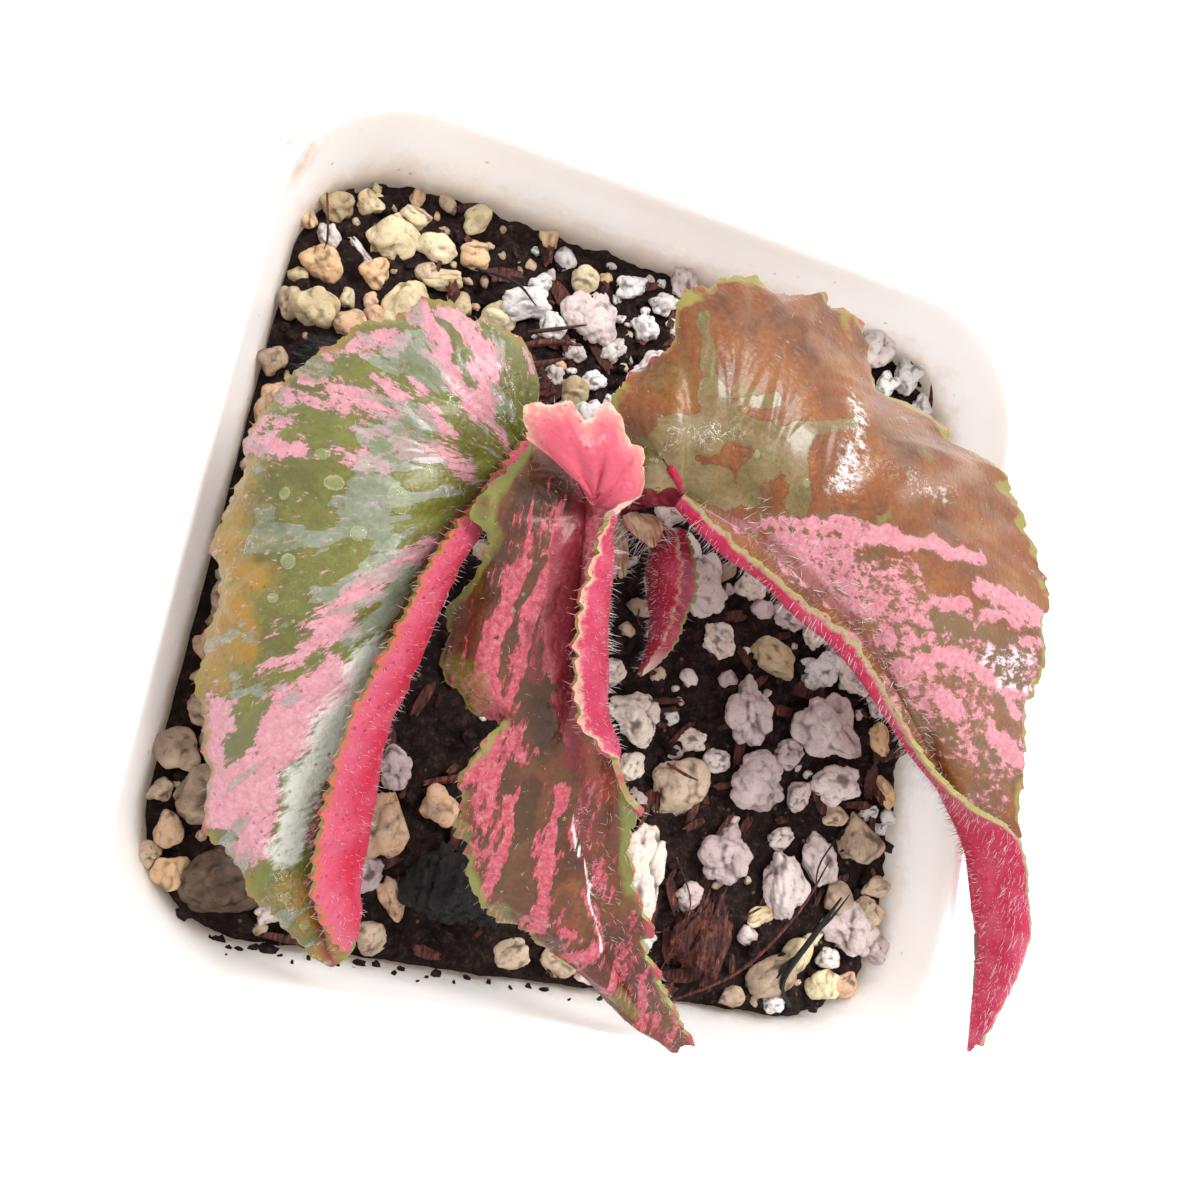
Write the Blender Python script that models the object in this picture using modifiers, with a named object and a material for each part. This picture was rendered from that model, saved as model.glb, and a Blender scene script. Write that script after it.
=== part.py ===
"""Potted begonia: a small plant with three big lopsided leaves in a square white nursery pot.

Blender 4.5, metres, +Z up. The origin is the middle of the pot's foot, and the pot's sides face
X and Y. Sizes below are in millimetres and are turned to metres when a mesh is made.
"""

import math

import bmesh
import bpy
import numpy as np
from mathutils import Matrix, Vector, noise

MM = 0.001
GAP = 0.3

# Pot: a thin square pot with round corners that narrows to its foot
POT_HEIGHT = 75.0
POT_RIM_WIDTH = 80.0
POT_INNER_WIDTH = 77.0
POT_TAPER = 0.13
POT_WALL = 1.0
POT_FLOOR = 1.6
RIM_DEPTH = 3.0
RIM_EDGE = 0.5
FOOT_EDGE = 0.6
CORNER_RADIUS = 12.0
CORNER_POINTS = 6
DRAIN_RADIUS = 3.0
DRAIN_REACH = 17.0
DRILL_SIDES = 16

# Soil: its surface lies lower on the far side, and grit stands in it
SOIL_TOP = 65.6
SOIL_TILT = 0.035
SOIL_SWELL = 0.8
SOIL_SWELL_LENGTH = 14.0
SOIL_EDGE_DEPTH = 3.0
GRIT_SPACING = 3.4
GRIT_HEIGHT = 1.1
SOIL_RINGS = 12

# Stem: a short thick rhizome in a plain hole, with a petiole to each leaf
STEM_HOLE_RADIUS = 3.9
STEM_HOLE_FLOOR = 50.0
STEM_PATH = [(-4.5, 8.0, 50.4), (-4.5, 8.0, 66.0), (-5.0, 7.5, 73.0), (-5.5, 6.5, 79.0)]
STEM_RADII = [2.9, 3.1, 2.7, 2.1]
PETIOLES = [
    ([(-5.2, 7.0, 76.0), (-8.0, 8.6, 78.6), (-11.0, 9.0, 79.8), (-13.2, 9.3, 80.6)], 1.1),
    ([(-5.4, 6.6, 77.0), (-7.4, 6.0, 81.0), (-9.2, 4.6, 85.0), (-9.8, 3.9, 88.0)], 1.2),
    ([(-5.0, 6.6, 77.0), (-3.8, 7.0, 81.5), (-2.8, 6.9, 85.0), (-2.2, 6.6, 86.8)], 1.1),
    ([(-4.6, 6.0, 77.0), (-3.0, 5.4, 79.6), (-2.1, 4.9, 81.7)], 0.7),
]

# Leaves: thickness, rows from midrib to margin on the two halves, the small swellings at base and
# tip, the distances under which points count as one, and the teeth and ripple of the margin
LEAF_THICKNESS = 0.6
LEAF_ROWS = (5, 6)
SCALE_ROWS = (2, 2)
KNOB_DROP = 0.1
TIP_RADIUS = 0.45
MERGE_DISTANCE = 0.04
SCRAP_DISTANCE = 0.004
TOOTH_COLUMNS = 3
TOOTH_DEPTH = 0.9
TOOTH_SHARE = 0.16
RIPPLE_HEIGHT = 0.35
RIPPLE_LENGTH = 6.5

# Each leaf is a midrib from base to tip and two halves. A half is a list of sections that run
# from the midrib to the margin, first those that fan out from the base. A section says how far
# along the midrib it starts, and then the points that it passes through.
LEAVES = {
    "leaf_left": dict(
        midrib=[
            (-14.0, 9.5, 81.5), (-17.0, 4.5, 83.5), (-20.0, -1.5, 84.5), (-22.0, -8.5, 84.5),
            (-23.5, -15.5, 83.0), (-23.5, -23.0, 80.0), (-22.5, -30.5, 77.5), (-19.5, -36.0, 76.5),
        ],
        broad=[
            (0.00, [(-14.5, 11.5, 83.5), (-15.0, 14.5, 83.0)]),
            (0.00, [(-17.5, 13.0, 85.5), (-19.0, 17.0, 84.0)]),
            (0.02, [(-21.0, 11.5, 86.5), (-25.0, 17.0, 84.5)]),
            (0.05, [(-23.0, 9.0, 86.5), (-30.0, 13.0, 83.0)]),
            (0.09, [(-25.0, 5.0, 86.5), (-34.5, 7.0, 81.0)]),
            (0.14, [(-26.5, 0.5, 86.5), (-36.0, 1.5, 80.0)]),
            (0.22, [(-27.5, -4.0, 86.0), (-36.0, -5.5, 79.0)]),
            (0.33, [(-28.0, -10.0, 85.5), (-35.0, -13.0, 78.5)]),
            (0.47, [(-28.0, -16.0, 83.5), (-33.0, -20.0, 78.0)]),
            (0.63, [(-28.0, -22.5, 81.0), (-31.5, -26.0, 77.5)]),
            (0.78, [(-26.0, -28.0, 79.0), (-27.5, -30.0, 77.0)]),
            (0.90, [(-23.0, -32.5, 77.5), (-24.0, -33.5, 76.5)]),
            (1.00, [(-19.5, -36.0, 76.5), (-19.5, -36.0, 76.5)]),
        ],
        rolled=[
            (0.00, [(-13.5, 9.5, 82.0), (-13.0, 10.0, 83.0), (-13.5, 10.0, 84.0)]),
            (0.06, [(-15.5, 6.5, 83.0), (-14.5, 6.5, 84.0), (-15.5, 7.0, 85.0)]),
            (0.16, [(-17.5, 1.5, 84.0), (-16.5, 1.5, 85.0), (-18.0, 1.5, 86.5)]),
            (0.27, [(-19.5, -4.5, 84.5), (-18.5, -4.0, 86.0), (-20.5, -4.0, 88.0)]),
            (0.42, [(-20.5, -10.5, 83.5), (-19.5, -10.0, 85.5), (-22.0, -10.5, 87.5)]),
            (0.56, [(-21.5, -17.5, 81.0), (-20.5, -16.5, 83.5), (-23.5, -17.0, 86.0)]),
            (0.71, [(-21.0, -25.5, 78.5), (-20.0, -23.0, 81.0), (-23.5, -23.5, 84.0)]),
            (0.83, [(-20.5, -31.0, 77.5), (-19.5, -28.5, 79.5), (-23.0, -29.0, 82.5)]),
            (0.92, [(-19.5, -34.0, 77.0), (-18.5, -32.5, 78.5), (-21.0, -32.5, 80.5)]),
            (1.00, [(-19.0, -35.5, 76.5), (-18.5, -34.5, 77.0), (-19.0, -34.5, 78.0)]),
        ],
        stations=24,
        columns=(43, 26),
        knob=0.8,
    ),
    "leaf_middle": dict(
        midrib=[
            (-10.0, 3.0, 91.0), (-10.0, 3.5, 89.0), (-9.5, -1.0, 89.0), (-8.5, -7.5, 88.5),
            (-7.5, -12.0, 87.5), (-5.0, -17.5, 85.5), (-2.5, -24.0, 83.0), (0.5, -29.5, 81.0),
            (4.5, -34.0, 79.0), (8.0, -37.5, 78.0), (11.5, -39.0, 77.0),
        ],
        broad=[
            (0.05, [(-11.0, 4.5, 88.5), (-12.0, 6.0, 88.0), (-13.0, 7.5, 87.5)]),
            (0.05, [(-11.5, 4.5, 89.0), (-13.5, 5.5, 89.0), (-15.5, 7.0, 88.5)]),
            (0.05, [(-12.0, 3.0, 89.5), (-14.5, 3.5, 89.5), (-17.0, 3.5, 88.5)]),
            (0.05, [(-12.0, 1.5, 89.5), (-15.0, 1.0, 89.5), (-18.0, 0.5, 88.5)]),
            (0.07, [(-12.0, -0.5, 89.5), (-14.5, -1.5, 89.0), (-16.5, -2.0, 87.5)]),
            (0.10, [(-12.0, -3.0, 89.5), (-14.5, -4.5, 88.5), (-17.0, -6.0, 84.5)]),
            (0.14, [(-11.5, -5.5, 89.0), (-15.0, -7.0, 88.0), (-17.0, -8.5, 83.5)]),
            (0.18, [(-11.0, -8.5, 89.0), (-15.0, -9.5, 87.5), (-17.0, -11.0, 83.5)]),
            (0.22, [(-10.5, -11.0, 88.5), (-14.0, -12.0, 87.5), (-14.5, -13.0, 84.0)]),
            (0.26, [(-9.5, -13.5, 88.0), (-13.0, -13.0, 87.5), (-12.5, -14.0, 84.5)]),
            (0.28, [(-9.0, -15.0, 87.0), (-11.5, -14.5, 87.5), (-12.0, -14.5, 87.0)]),
            (0.32, [(-9.0, -17.0, 86.0), (-11.5, -16.5, 86.5), (-13.5, -17.5, 86.0)]),
            (0.38, [(-8.5, -20.0, 85.0), (-11.5, -20.0, 85.0), (-14.0, -20.5, 84.0)]),
            (0.46, [(-7.5, -23.0, 84.0), (-10.0, -23.5, 84.0), (-12.0, -24.5, 82.5)]),
            (0.55, [(-6.0, -26.5, 82.5), (-8.0, -27.0, 82.0), (-9.0, -28.0, 81.0)]),
            (0.62, [(-3.5, -29.5, 81.5), (-5.0, -29.5, 81.0), (-7.0, -30.0, 80.0)]),
            (0.68, [(-1.0, -31.5, 80.5), (-2.0, -31.5, 80.0), (-3.0, -31.5, 79.5)]),
            (0.75, [(3.0, -34.5, 79.5), (2.0, -34.0, 79.0), (1.0, -33.5, 79.0)]),
            (0.86, [(6.5, -36.5, 78.5), (5.5, -36.5, 78.5), (5.0, -36.0, 78.0)]),
            (1.00, [(11.0, -39.0, 77.0), (10.5, -38.5, 77.0), (10.5, -38.5, 76.5)]),
        ],
        rolled=[
            (0.00, [(-11.5, 3.5, 92.5), (-13.5, 4.5, 93.0), (-15.5, 5.5, 92.5)]),
            (0.00, [(-12.0, 4.0, 93.0), (-14.5, 5.5, 93.5), (-16.5, 7.5, 92.5)]),
            (0.00, [(-12.0, 4.5, 93.0), (-13.5, 6.5, 94.0), (-14.5, 9.0, 92.5)]),
            (0.00, [(-11.0, 4.5, 93.0), (-12.0, 6.0, 94.0), (-12.5, 7.5, 93.5)]),
            (0.00, [(-10.5, 5.0, 93.0), (-11.0, 7.0, 94.0), (-11.0, 9.5, 92.5)]),
            (0.00, [(-10.0, 4.5, 93.0), (-10.0, 6.0, 93.5), (-9.0, 8.5, 92.5)]),
            (0.00, [(-9.0, 4.0, 92.0), (-8.5, 5.5, 92.5), (-7.0, 7.0, 91.5)]),
            (0.00, [(-9.0, 3.5, 91.5), (-8.0, 4.0, 92.0), (-6.5, 5.0, 91.0)]),
            (0.01, [(-9.0, 3.0, 91.0), (-8.5, 3.0, 91.5), (-8.0, 3.0, 92.0)]),
            (0.03, [(-9.0, 2.5, 90.5), (-8.5, 2.5, 91.0), (-9.0, 2.0, 92.0)]),
            (0.07, [(-9.0, 1.5, 90.0), (-8.5, 1.0, 91.0), (-9.5, 0.5, 92.5)]),
            (0.12, [(-8.5, -1.5, 90.0), (-8.0, -1.5, 91.5), (-10.0, -2.0, 93.0)]),
            (0.20, [(-8.0, -5.0, 89.5), (-7.5, -5.0, 91.5), (-10.0, -6.0, 93.0)]),
            (0.29, [(-7.0, -9.5, 89.0), (-6.5, -9.5, 91.0), (-9.0, -10.0, 92.5)]),
            (0.37, [(-6.0, -12.5, 88.0), (-5.5, -12.5, 90.0), (-7.5, -13.0, 91.5)]),
            (0.42, [(-4.5, -14.5, 87.0), (-4.0, -14.5, 89.0), (-5.0, -15.0, 90.0)]),
            (0.48, [(-3.5, -17.0, 86.0), (-3.0, -17.0, 87.5), (-2.5, -17.5, 88.5)]),
            (0.53, [(-2.0, -20.0, 85.0), (-1.5, -20.0, 86.0), (-0.5, -20.0, 86.5)]),
            (0.58, [(-1.0, -23.0, 84.0), (-0.5, -22.5, 84.5), (0.5, -22.5, 85.0)]),
            (0.66, [(1.0, -27.0, 82.5), (1.5, -26.5, 83.0), (2.5, -26.5, 83.5)]),
            (0.74, [(3.0, -30.5, 81.0), (3.5, -30.0, 81.5), (4.5, -30.0, 82.0)]),
            (0.82, [(5.5, -33.5, 80.0), (6.0, -33.0, 80.5), (7.0, -33.0, 81.0)]),
            (1.00, [(11.5, -38.5, 77.5), (11.5, -38.0, 78.0), (12.0, -38.0, 78.0)]),
        ],
        stations=26,
        columns=(46, 44),
        knob=0.7,
    ),
    "leaf_right": dict(
        midrib=[
            (-2.0, 6.5, 88.0), (5.0, 4.5, 88.0), (11.5, 2.0, 87.0), (18.5, -1.0, 85.0),
            (25.0, -5.5, 83.0), (31.0, -10.0, 81.0), (36.0, -15.5, 79.0), (40.0, -21.5, 77.5),
            (44.0, -29.0, 74.0), (47.5, -37.0, 70.0),
        ],
        broad=[
            (0.00, [(-3.5, 6.5, 88.5), (-4.0, 6.0, 88.5)]),
            (0.00, [(-4.5, 8.0, 89.0), (-6.0, 7.5, 88.0)]),
            (0.00, [(-5.5, 9.5, 89.5), (-9.0, 12.5, 87.5)]),
            (0.00, [(-4.5, 11.5, 90.0), (-6.5, 16.5, 88.0)]),
            (0.00, [(-3.5, 13.5, 90.0), (-5.5, 20.0, 88.5)]),
            (0.02, [(-2.0, 15.5, 90.5), (-4.0, 24.0, 88.0)]),
            (0.05, [(0.0, 16.0, 90.5), (1.0, 27.0, 87.0)]),
            (0.07, [(3.0, 15.5, 90.0), (8.5, 27.5, 85.5)]),
            (0.11, [(5.0, 14.5, 90.0), (14.0, 25.5, 84.5)]),
            (0.16, [(7.0, 12.5, 90.0), (18.0, 22.0, 84.0)]),
            (0.23, [(10.5, 11.0, 89.5), (25.0, 20.5, 83.0)]),
            (0.30, [(14.0, 8.5, 89.0), (32.5, 18.0, 82.0)]),
            (0.40, [(18.5, 5.5, 87.5), (37.5, 12.5, 81.0)]),
            (0.50, [(23.5, 1.5, 86.0), (41.0, 4.5, 81.0)]),
            (0.59, [(28.0, -3.0, 84.0), (41.0, -2.5, 80.0)]),
            (0.67, [(33.0, -9.0, 82.0), (41.0, -10.0, 79.5)]),
            (0.74, [(37.5, -15.0, 79.5), (42.5, -15.5, 78.5)]),
            (0.86, [(42.5, -23.5, 76.5), (45.0, -24.0, 76.0)]),
            (1.00, [(48.0, -36.5, 69.5), (48.5, -36.0, 69.5)]),
        ],
        rolled=[
            (0.00, [(-2.0, 6.0, 88.5), (-2.5, 5.5, 89.5), (-2.5, 6.5, 91.0)]),
            (0.03, [(0.5, 4.5, 88.5), (-0.5, 4.0, 90.0), (0.0, 5.0, 91.5)]),
            (0.09, [(3.5, 3.5, 88.5), (2.5, 2.5, 90.0), (2.5, 3.5, 91.5)]),
            (0.15, [(7.0, 2.5, 88.0), (6.0, 1.5, 89.5), (6.0, 2.0, 91.0)]),
            (0.22, [(10.5, 1.0, 87.5), (10.0, -0.5, 89.0), (10.5, 0.5, 90.5)]),
            (0.30, [(15.5, -1.0, 86.0), (14.5, -2.0, 88.0), (15.5, -1.0, 89.5)]),
            (0.38, [(20.0, -3.5, 85.0), (18.5, -4.0, 86.5), (19.0, -3.0, 88.0)]),
            (0.45, [(24.0, -6.0, 83.5), (22.5, -6.5, 85.0), (22.5, -6.0, 86.5)]),
            (0.52, [(28.0, -9.0, 82.0), (27.0, -9.5, 83.5), (27.5, -10.5, 85.0)]),
            (0.60, [(32.5, -13.0, 81.0), (32.5, -12.5, 82.5), (33.0, -13.0, 84.0)]),
            (0.66, [(36.0, -15.5, 80.5), (37.5, -15.0, 82.0), (39.5, -15.0, 82.5)]),
            (0.76, [(40.5, -21.0, 78.5), (42.0, -20.5, 79.5), (44.5, -21.5, 79.5)]),
            (0.85, [(43.5, -26.5, 76.5), (45.0, -26.5, 77.5), (46.5, -26.5, 77.0)]),
            (1.00, [(47.5, -36.5, 70.5), (47.5, -36.0, 71.0), (47.5, -36.0, 71.5)]),
        ],
        stations=26,
        columns=(61, 32),
        knob=0.7,
    ),
    "leaf_young": dict(
        midrib=[(-1.5, 4.5, 82.5), (-1.5, 1.0, 82.0), (0.0, -2.0, 80.5), (1.5, -4.5, 78.5), (1.5, -7.5, 76.5)],
        broad=[
            (0.0, [(0.0, 5.0, 83.0), (0.5, 5.0, 83.0)]),
            (0.2, [(1.0, 2.5, 82.5), (2.0, 3.0, 82.5)]),
            (0.4, [(1.5, 0.0, 81.5), (3.0, 0.5, 82.0)]),
            (0.6, [(1.5, -2.0, 80.5), (3.0, -2.0, 81.0)]),
            (0.8, [(2.0, -4.5, 79.0), (3.0, -4.5, 79.0)]),
            (1.0, [(2.0, -7.0, 76.5), (2.5, -6.5, 76.5)]),
        ],
        rolled=[
            (0.0, [(-1.2, 4.2, 83.2), (-0.6, 4.4, 84.0)]),
            (0.2, [(-1.5, 2.5, 83.5), (-0.5, 3.0, 85.0)]),
            (0.4, [(-1.0, 0.0, 83.0), (0.5, 0.5, 84.5)]),
            (0.6, [(0.0, -2.0, 81.5), (1.0, -2.0, 83.0)]),
            (0.8, [(1.0, -4.5, 79.5), (1.5, -4.5, 80.5)]),
            (1.0, [(1.5, -7.0, 77.0), (1.5, -6.5, 77.5)]),
        ],
        stations=9,
        columns=(10, 10),
        knob=0.5,
    ),
}

# Papery scales at the crown, each a leaf-like sheet too
STIPULES = {
    "stipule_right": dict(
        midrib=[(-3.8, 5.0, 83.4), (-3.1, 4.0, 84.8), (-2.1, 2.6, 84.2)],
        broad=[
            (0.0, [(-4.6, 4.8, 83.8), (-5.2, 4.4, 83.8)]),
            (0.5, [(-4.0, 3.8, 84.6), (-4.6, 3.4, 84.2)]),
            (1.0, [(-2.5, 2.5, 84.0), (-2.9, 2.5, 83.9)]),
        ],
        rolled=[
            (0.0, [(-3.2, 5.0, 84.0), (-2.8, 5.0, 84.2)]),
            (0.5, [(-2.6, 4.2, 85.0), (-2.1, 4.2, 85.2)]),
            (1.0, [(-1.9, 2.9, 84.4), (-1.7, 3.2, 84.6)]),
        ],
        stations=5,
        columns=(6, 6),
        knob=0.4,
    ),
    "stipule_front": dict(
        midrib=[(-5.0, 4.6, 80.4), (-4.5, 2.6, 81.8), (-3.0, 0.2, 80.0)],
        broad=[
            (0.0, [(-5.4, 4.4, 80.6), (-5.8, 4.2, 80.4)]),
            (0.5, [(-4.9, 2.4, 81.7), (-5.2, 2.2, 81.4)]),
            (1.0, [(-3.3, 0.0, 79.9), (-3.6, -0.1, 79.7)]),
        ],
        rolled=[
            (0.0, [(-4.6, 4.7, 80.6), (-4.2, 4.8, 80.4)]),
            (0.5, [(-4.1, 2.8, 81.7), (-3.8, 3.0, 81.4)]),
            (1.0, [(-2.7, 0.4, 79.9), (-2.4, 0.6, 79.7)]),
        ],
        stations=5,
        columns=(6, 6),
        knob=0.4,
    ),
}

# Stones and chunks on the soil: place, length, width and height, and turn about Z in degrees
STONES = {
    "pebble_cream": [
        (-34.0, 25.5, 4.0, 3.5, 3.5, 0), (-33.5, 20.5, 4.5, 4.0, 4.0, 40), (-28.5, 30.0, 6.0, 4.5, 4.0, 20),
        (-25.5, 23.5, 5.0, 5.5, 4.0, 0), (19.5, -1.5, 5.5, 4.0, 4.0, -25),
    ],
    "pebble_beige": [
        (-34.0, 10.5, 5.5, 5.5, 4.0, 10), (-34.0, -2.0, 4.5, 4.5, 4.0, 0), (-33.5, -8.5, 4.5, 4.0, 4.0, 0),
        (-33.5, -17.5, 4.5, 4.0, 3.5, 30), (-31.5, -25.0, 6.5, 5.0, 4.5, 20), (-16.5, -25.0, 4.5, 7.0, 4.5, -10),
        (-7.0, -20.5, 4.5, 5.0, 4.0, 0), (11.5, -16.5, 5.5, 5.5, 4.5, 10), (32.5, -18.0, 5.0, 5.0, 4.0, 0),
        (2.5, -34.0, 4.0, 4.0, 3.5, 0),
    ],
    "pumice_lilac": [
        (5.5, -10.5, 5.5, 5.0, 4.5, 0), (17.5, -7.5, 5.0, 6.5, 4.5, 15), (10.0, 4.0, 5.0, 6.5, 4.5, 0),
        (26.5, -7.0, 8.5, 6.5, 5.5, -35), (20.0, -14.5, 6.0, 6.0, 4.5, 0), (8.5, -25.5, 6.0, 10.0, 5.0, 0),
        (17.5, -22.0, 5.5, 5.5, 4.0, 0), (24.5, -24.0, 5.0, 6.0, 4.5, 20), (33.0, -27.5, 6.0, 5.5, 4.5, 0),
        (-7.0, 29.0, 6.0, 5.5, 4.0, 0), (0.5, 24.5, 5.5, 4.5, 4.0, 20),
    ],
    "stone_brown": [(-28.5, -32.0, 8.5, 6.5, 5.5, 15)],
    "charcoal": [(-8.0, -29.5, 11.0, 9.5, 6.0, 10), (-31.0, 15.5, 6.5, 5.5, 4.0, 0)],
    "bark": [(16.5, -31.0, 5.5, 9.5, 5.5, -12), (-12.0, 20.0, 7.0, 4.0, 3.5, 30)],
}
STONE_RISE = 0.22
STONE_LUMPS = 0.32
STONE_LUMP_RATE = 1.3

COLOURS = {
    "pot": ("#F4F2F0", 0.35),
    "soil": ("#1B1316", 0.95),
    "stem": ("#B8485A", 0.5),
    "leaf_left": ("#7E7C48", 0.35),
    "leaf_middle": ("#B05058", 0.45),
    "leaf_right": ("#986236", 0.35),
    "leaf_young": ("#C02850", 0.45),
    "stipule_right": ("#D8A890", 0.5),
    "stipule_front": ("#C0A898", 0.6),
    "pebble_cream": ("#D8C49A", 0.85),
    "pebble_beige": ("#C8B09A", 0.85),
    "pumice_lilac": ("#CDBCBC", 0.9),
    "stone_brown": ("#8A7664", 0.85),
    "charcoal": ("#1E1618", 0.9),
    "bark": ("#4A2A22", 0.85),
}


def linear_colour(hex_colour):
    """sRGB hex turned to the linear values that a shader takes."""
    channels = [int(hex_colour[i:i + 2], 16) / 255 for i in (1, 3, 5)]
    return [c / 12.92 if c <= 0.04045 else ((c + 0.055) / 1.055) ** 2.4 for c in channels] + [1.0]


def material(name):
    """A plain Principled material in the part's main colour."""
    if name in bpy.data.materials:
        return bpy.data.materials[name]
    colour, roughness = COLOURS[name]
    made = bpy.data.materials.new(name)
    made.use_nodes = True
    shader = made.node_tree.nodes["Principled BSDF"]
    shader.inputs["Base Color"].default_value = linear_colour(colour)
    shader.inputs["Roughness"].default_value = roughness
    shader.inputs["Metallic"].default_value = 0.0
    made.diffuse_color = linear_colour(colour)
    return made


def add_object(name, shape, collection, finish=None):
    """Turns a bmesh in millimetres into an object in metres."""
    bmesh.ops.scale(shape, vec=(MM, MM, MM), verts=shape.verts)
    mesh = bpy.data.meshes.new(name)
    shape.to_mesh(mesh)
    shape.free()
    made = bpy.data.objects.new(name, mesh)
    if finish:
        mesh.materials.append(material(finish))
    collection.objects.link(made)
    if collection.hide_render:
        made.display_type = "WIRE"
    return made


def apply_modifiers(target):
    """Puts the evaluated shape in place of the mesh, and drops the modifiers."""
    bpy.context.view_layer.update()
    graph = bpy.context.evaluated_depsgraph_get()
    mesh = bpy.data.meshes.new_from_object(target.evaluated_get(graph))
    target.modifiers.clear()
    target.data = mesh


def cut(target, cutters):
    """Cuts every object of a collection out of the target."""
    boolean = target.modifiers.new("cut", "BOOLEAN")
    boolean.operation = "DIFFERENCE"
    boolean.operand_type = "COLLECTION"
    boolean.collection = cutters
    boolean.solver = "EXACT"
    apply_modifiers(target)


def join(target, others):
    """Fuses every object of a collection into the target, and resolves where the target meets itself."""
    boolean = target.modifiers.new("join", "BOOLEAN")
    boolean.operation = "UNION"
    boolean.operand_type = "COLLECTION"
    boolean.collection = others
    boolean.solver = "EXACT"
    boolean.use_self = True
    apply_modifiers(target)


def remove_cutters(cutters):
    for helper in list(cutters.objects):
        bpy.data.objects.remove(helper)


def bodies_of(shape):
    """The faces of a mesh in groups that hang together, the smallest group first."""
    bodies = []
    waiting = set(shape.faces)
    while waiting:
        body = {waiting.pop()}
        growing = list(body)
        while growing:
            near = {other for edge in growing.pop().edges for other in edge.link_faces} & waiting
            waiting -= near
            body |= near
            growing.extend(near)
        bodies.append(body)
    return sorted(bodies, key=len)


def open_simple_holes(shape):
    """Deletes the faces where more than two meet at an edge, or where two holes touch at a point."""
    while True:
        spoiled = {face for edge in shape.edges if len(edge.link_faces) > 2 for face in edge.link_faces}
        for vert in shape.verts:
            if sum(edge.is_boundary for edge in vert.link_edges) > 2:
                spoiled.update(vert.link_faces)
        if not spoiled:
            break
        bmesh.ops.delete(shape, geom=list(spoiled), context="FACES")
    for scrap in bodies_of(shape)[:-1]:
        bmesh.ops.delete(shape, geom=list(scrap), context="FACES")


def close_holes(shape):
    """Closes each hole with a fan of triangles round its middle."""
    rims = {edge for edge in shape.edges if edge.is_boundary}
    while rims:
        ring = list(rims.pop().verts)
        while ring[-1] is not ring[0]:
            step = next(edge for edge in ring[-1].link_edges if edge in rims)
            rims.discard(step)
            ring.append(step.other_vert(ring[-1]))
        middle = shape.verts.new(sum((vert.co for vert in ring[1:]), Vector()) / (len(ring) - 1))
        for start, end in zip(ring, ring[1:]):
            shape.faces.new((start, end, middle))


def clean_up(target):
    """Mends what a union leaves: near-equal points, scraps, and spots where more than two faces meet."""
    shape = bmesh.new()
    shape.from_mesh(target.data)
    bmesh.ops.remove_doubles(shape, verts=shape.verts, dist=SCRAP_DISTANCE * MM)
    bmesh.ops.dissolve_degenerate(shape, dist=SCRAP_DISTANCE * MM, edges=shape.edges)
    bmesh.ops.triangulate(shape, faces=shape.faces)
    bare = [edge for edge in shape.edges if not edge.link_faces]
    bmesh.ops.delete(shape, geom=bare, context="EDGES")
    open_simple_holes(shape)
    close_holes(shape)
    bmesh.ops.recalc_face_normals(shape, faces=shape.faces)
    shape.to_mesh(target.data)
    shape.free()


def add_drill(name, x, y, radius, bottom, top, cutters):
    """An upright round cutter."""
    drill = bmesh.new()
    place = Matrix.Translation((x, y, (bottom + top) / 2))
    bmesh.ops.create_cone(drill, cap_ends=True, segments=DRILL_SIDES, radius1=radius, radius2=radius,
                          depth=top - bottom, matrix=place)
    add_object(name, drill, cutters)


def rounded_square(half, radius, z):
    """The points of a square with round corners, anticlockwise from above."""
    points = []
    for corner in range(4):
        for step in range(CORNER_POINTS + 1):
            angle = math.pi / 2 * (corner + step / CORNER_POINTS)
            turn = math.pi / 4 + math.pi / 2 * corner
            centre_x = math.copysign(half - radius, math.cos(turn))
            centre_y = math.copysign(half - radius, math.sin(turn))
            points.append(Vector((
                centre_x + radius * math.cos(angle), centre_y + radius * math.sin(angle), z)))
    return points


def loft(shape, rings):
    """Joins rings of equal count with quads, in order, and returns the rings' points."""
    made = [[shape.verts.new(point) for point in ring] for ring in rings]
    for lower, upper in zip(made, made[1:]):
        count = len(lower)
        for i in range(count):
            j = (i + 1) % count
            shape.faces.new((lower[i], lower[j], upper[j], upper[i]))
    return made


def inner_half(z):
    """Half the pot's inner width at a height."""
    return POT_INNER_WIDTH / 2 - (POT_HEIGHT - z) * POT_TAPER


def corner_radius(z):
    return CORNER_RADIUS - (POT_HEIGHT - z) * POT_TAPER / 3


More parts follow.
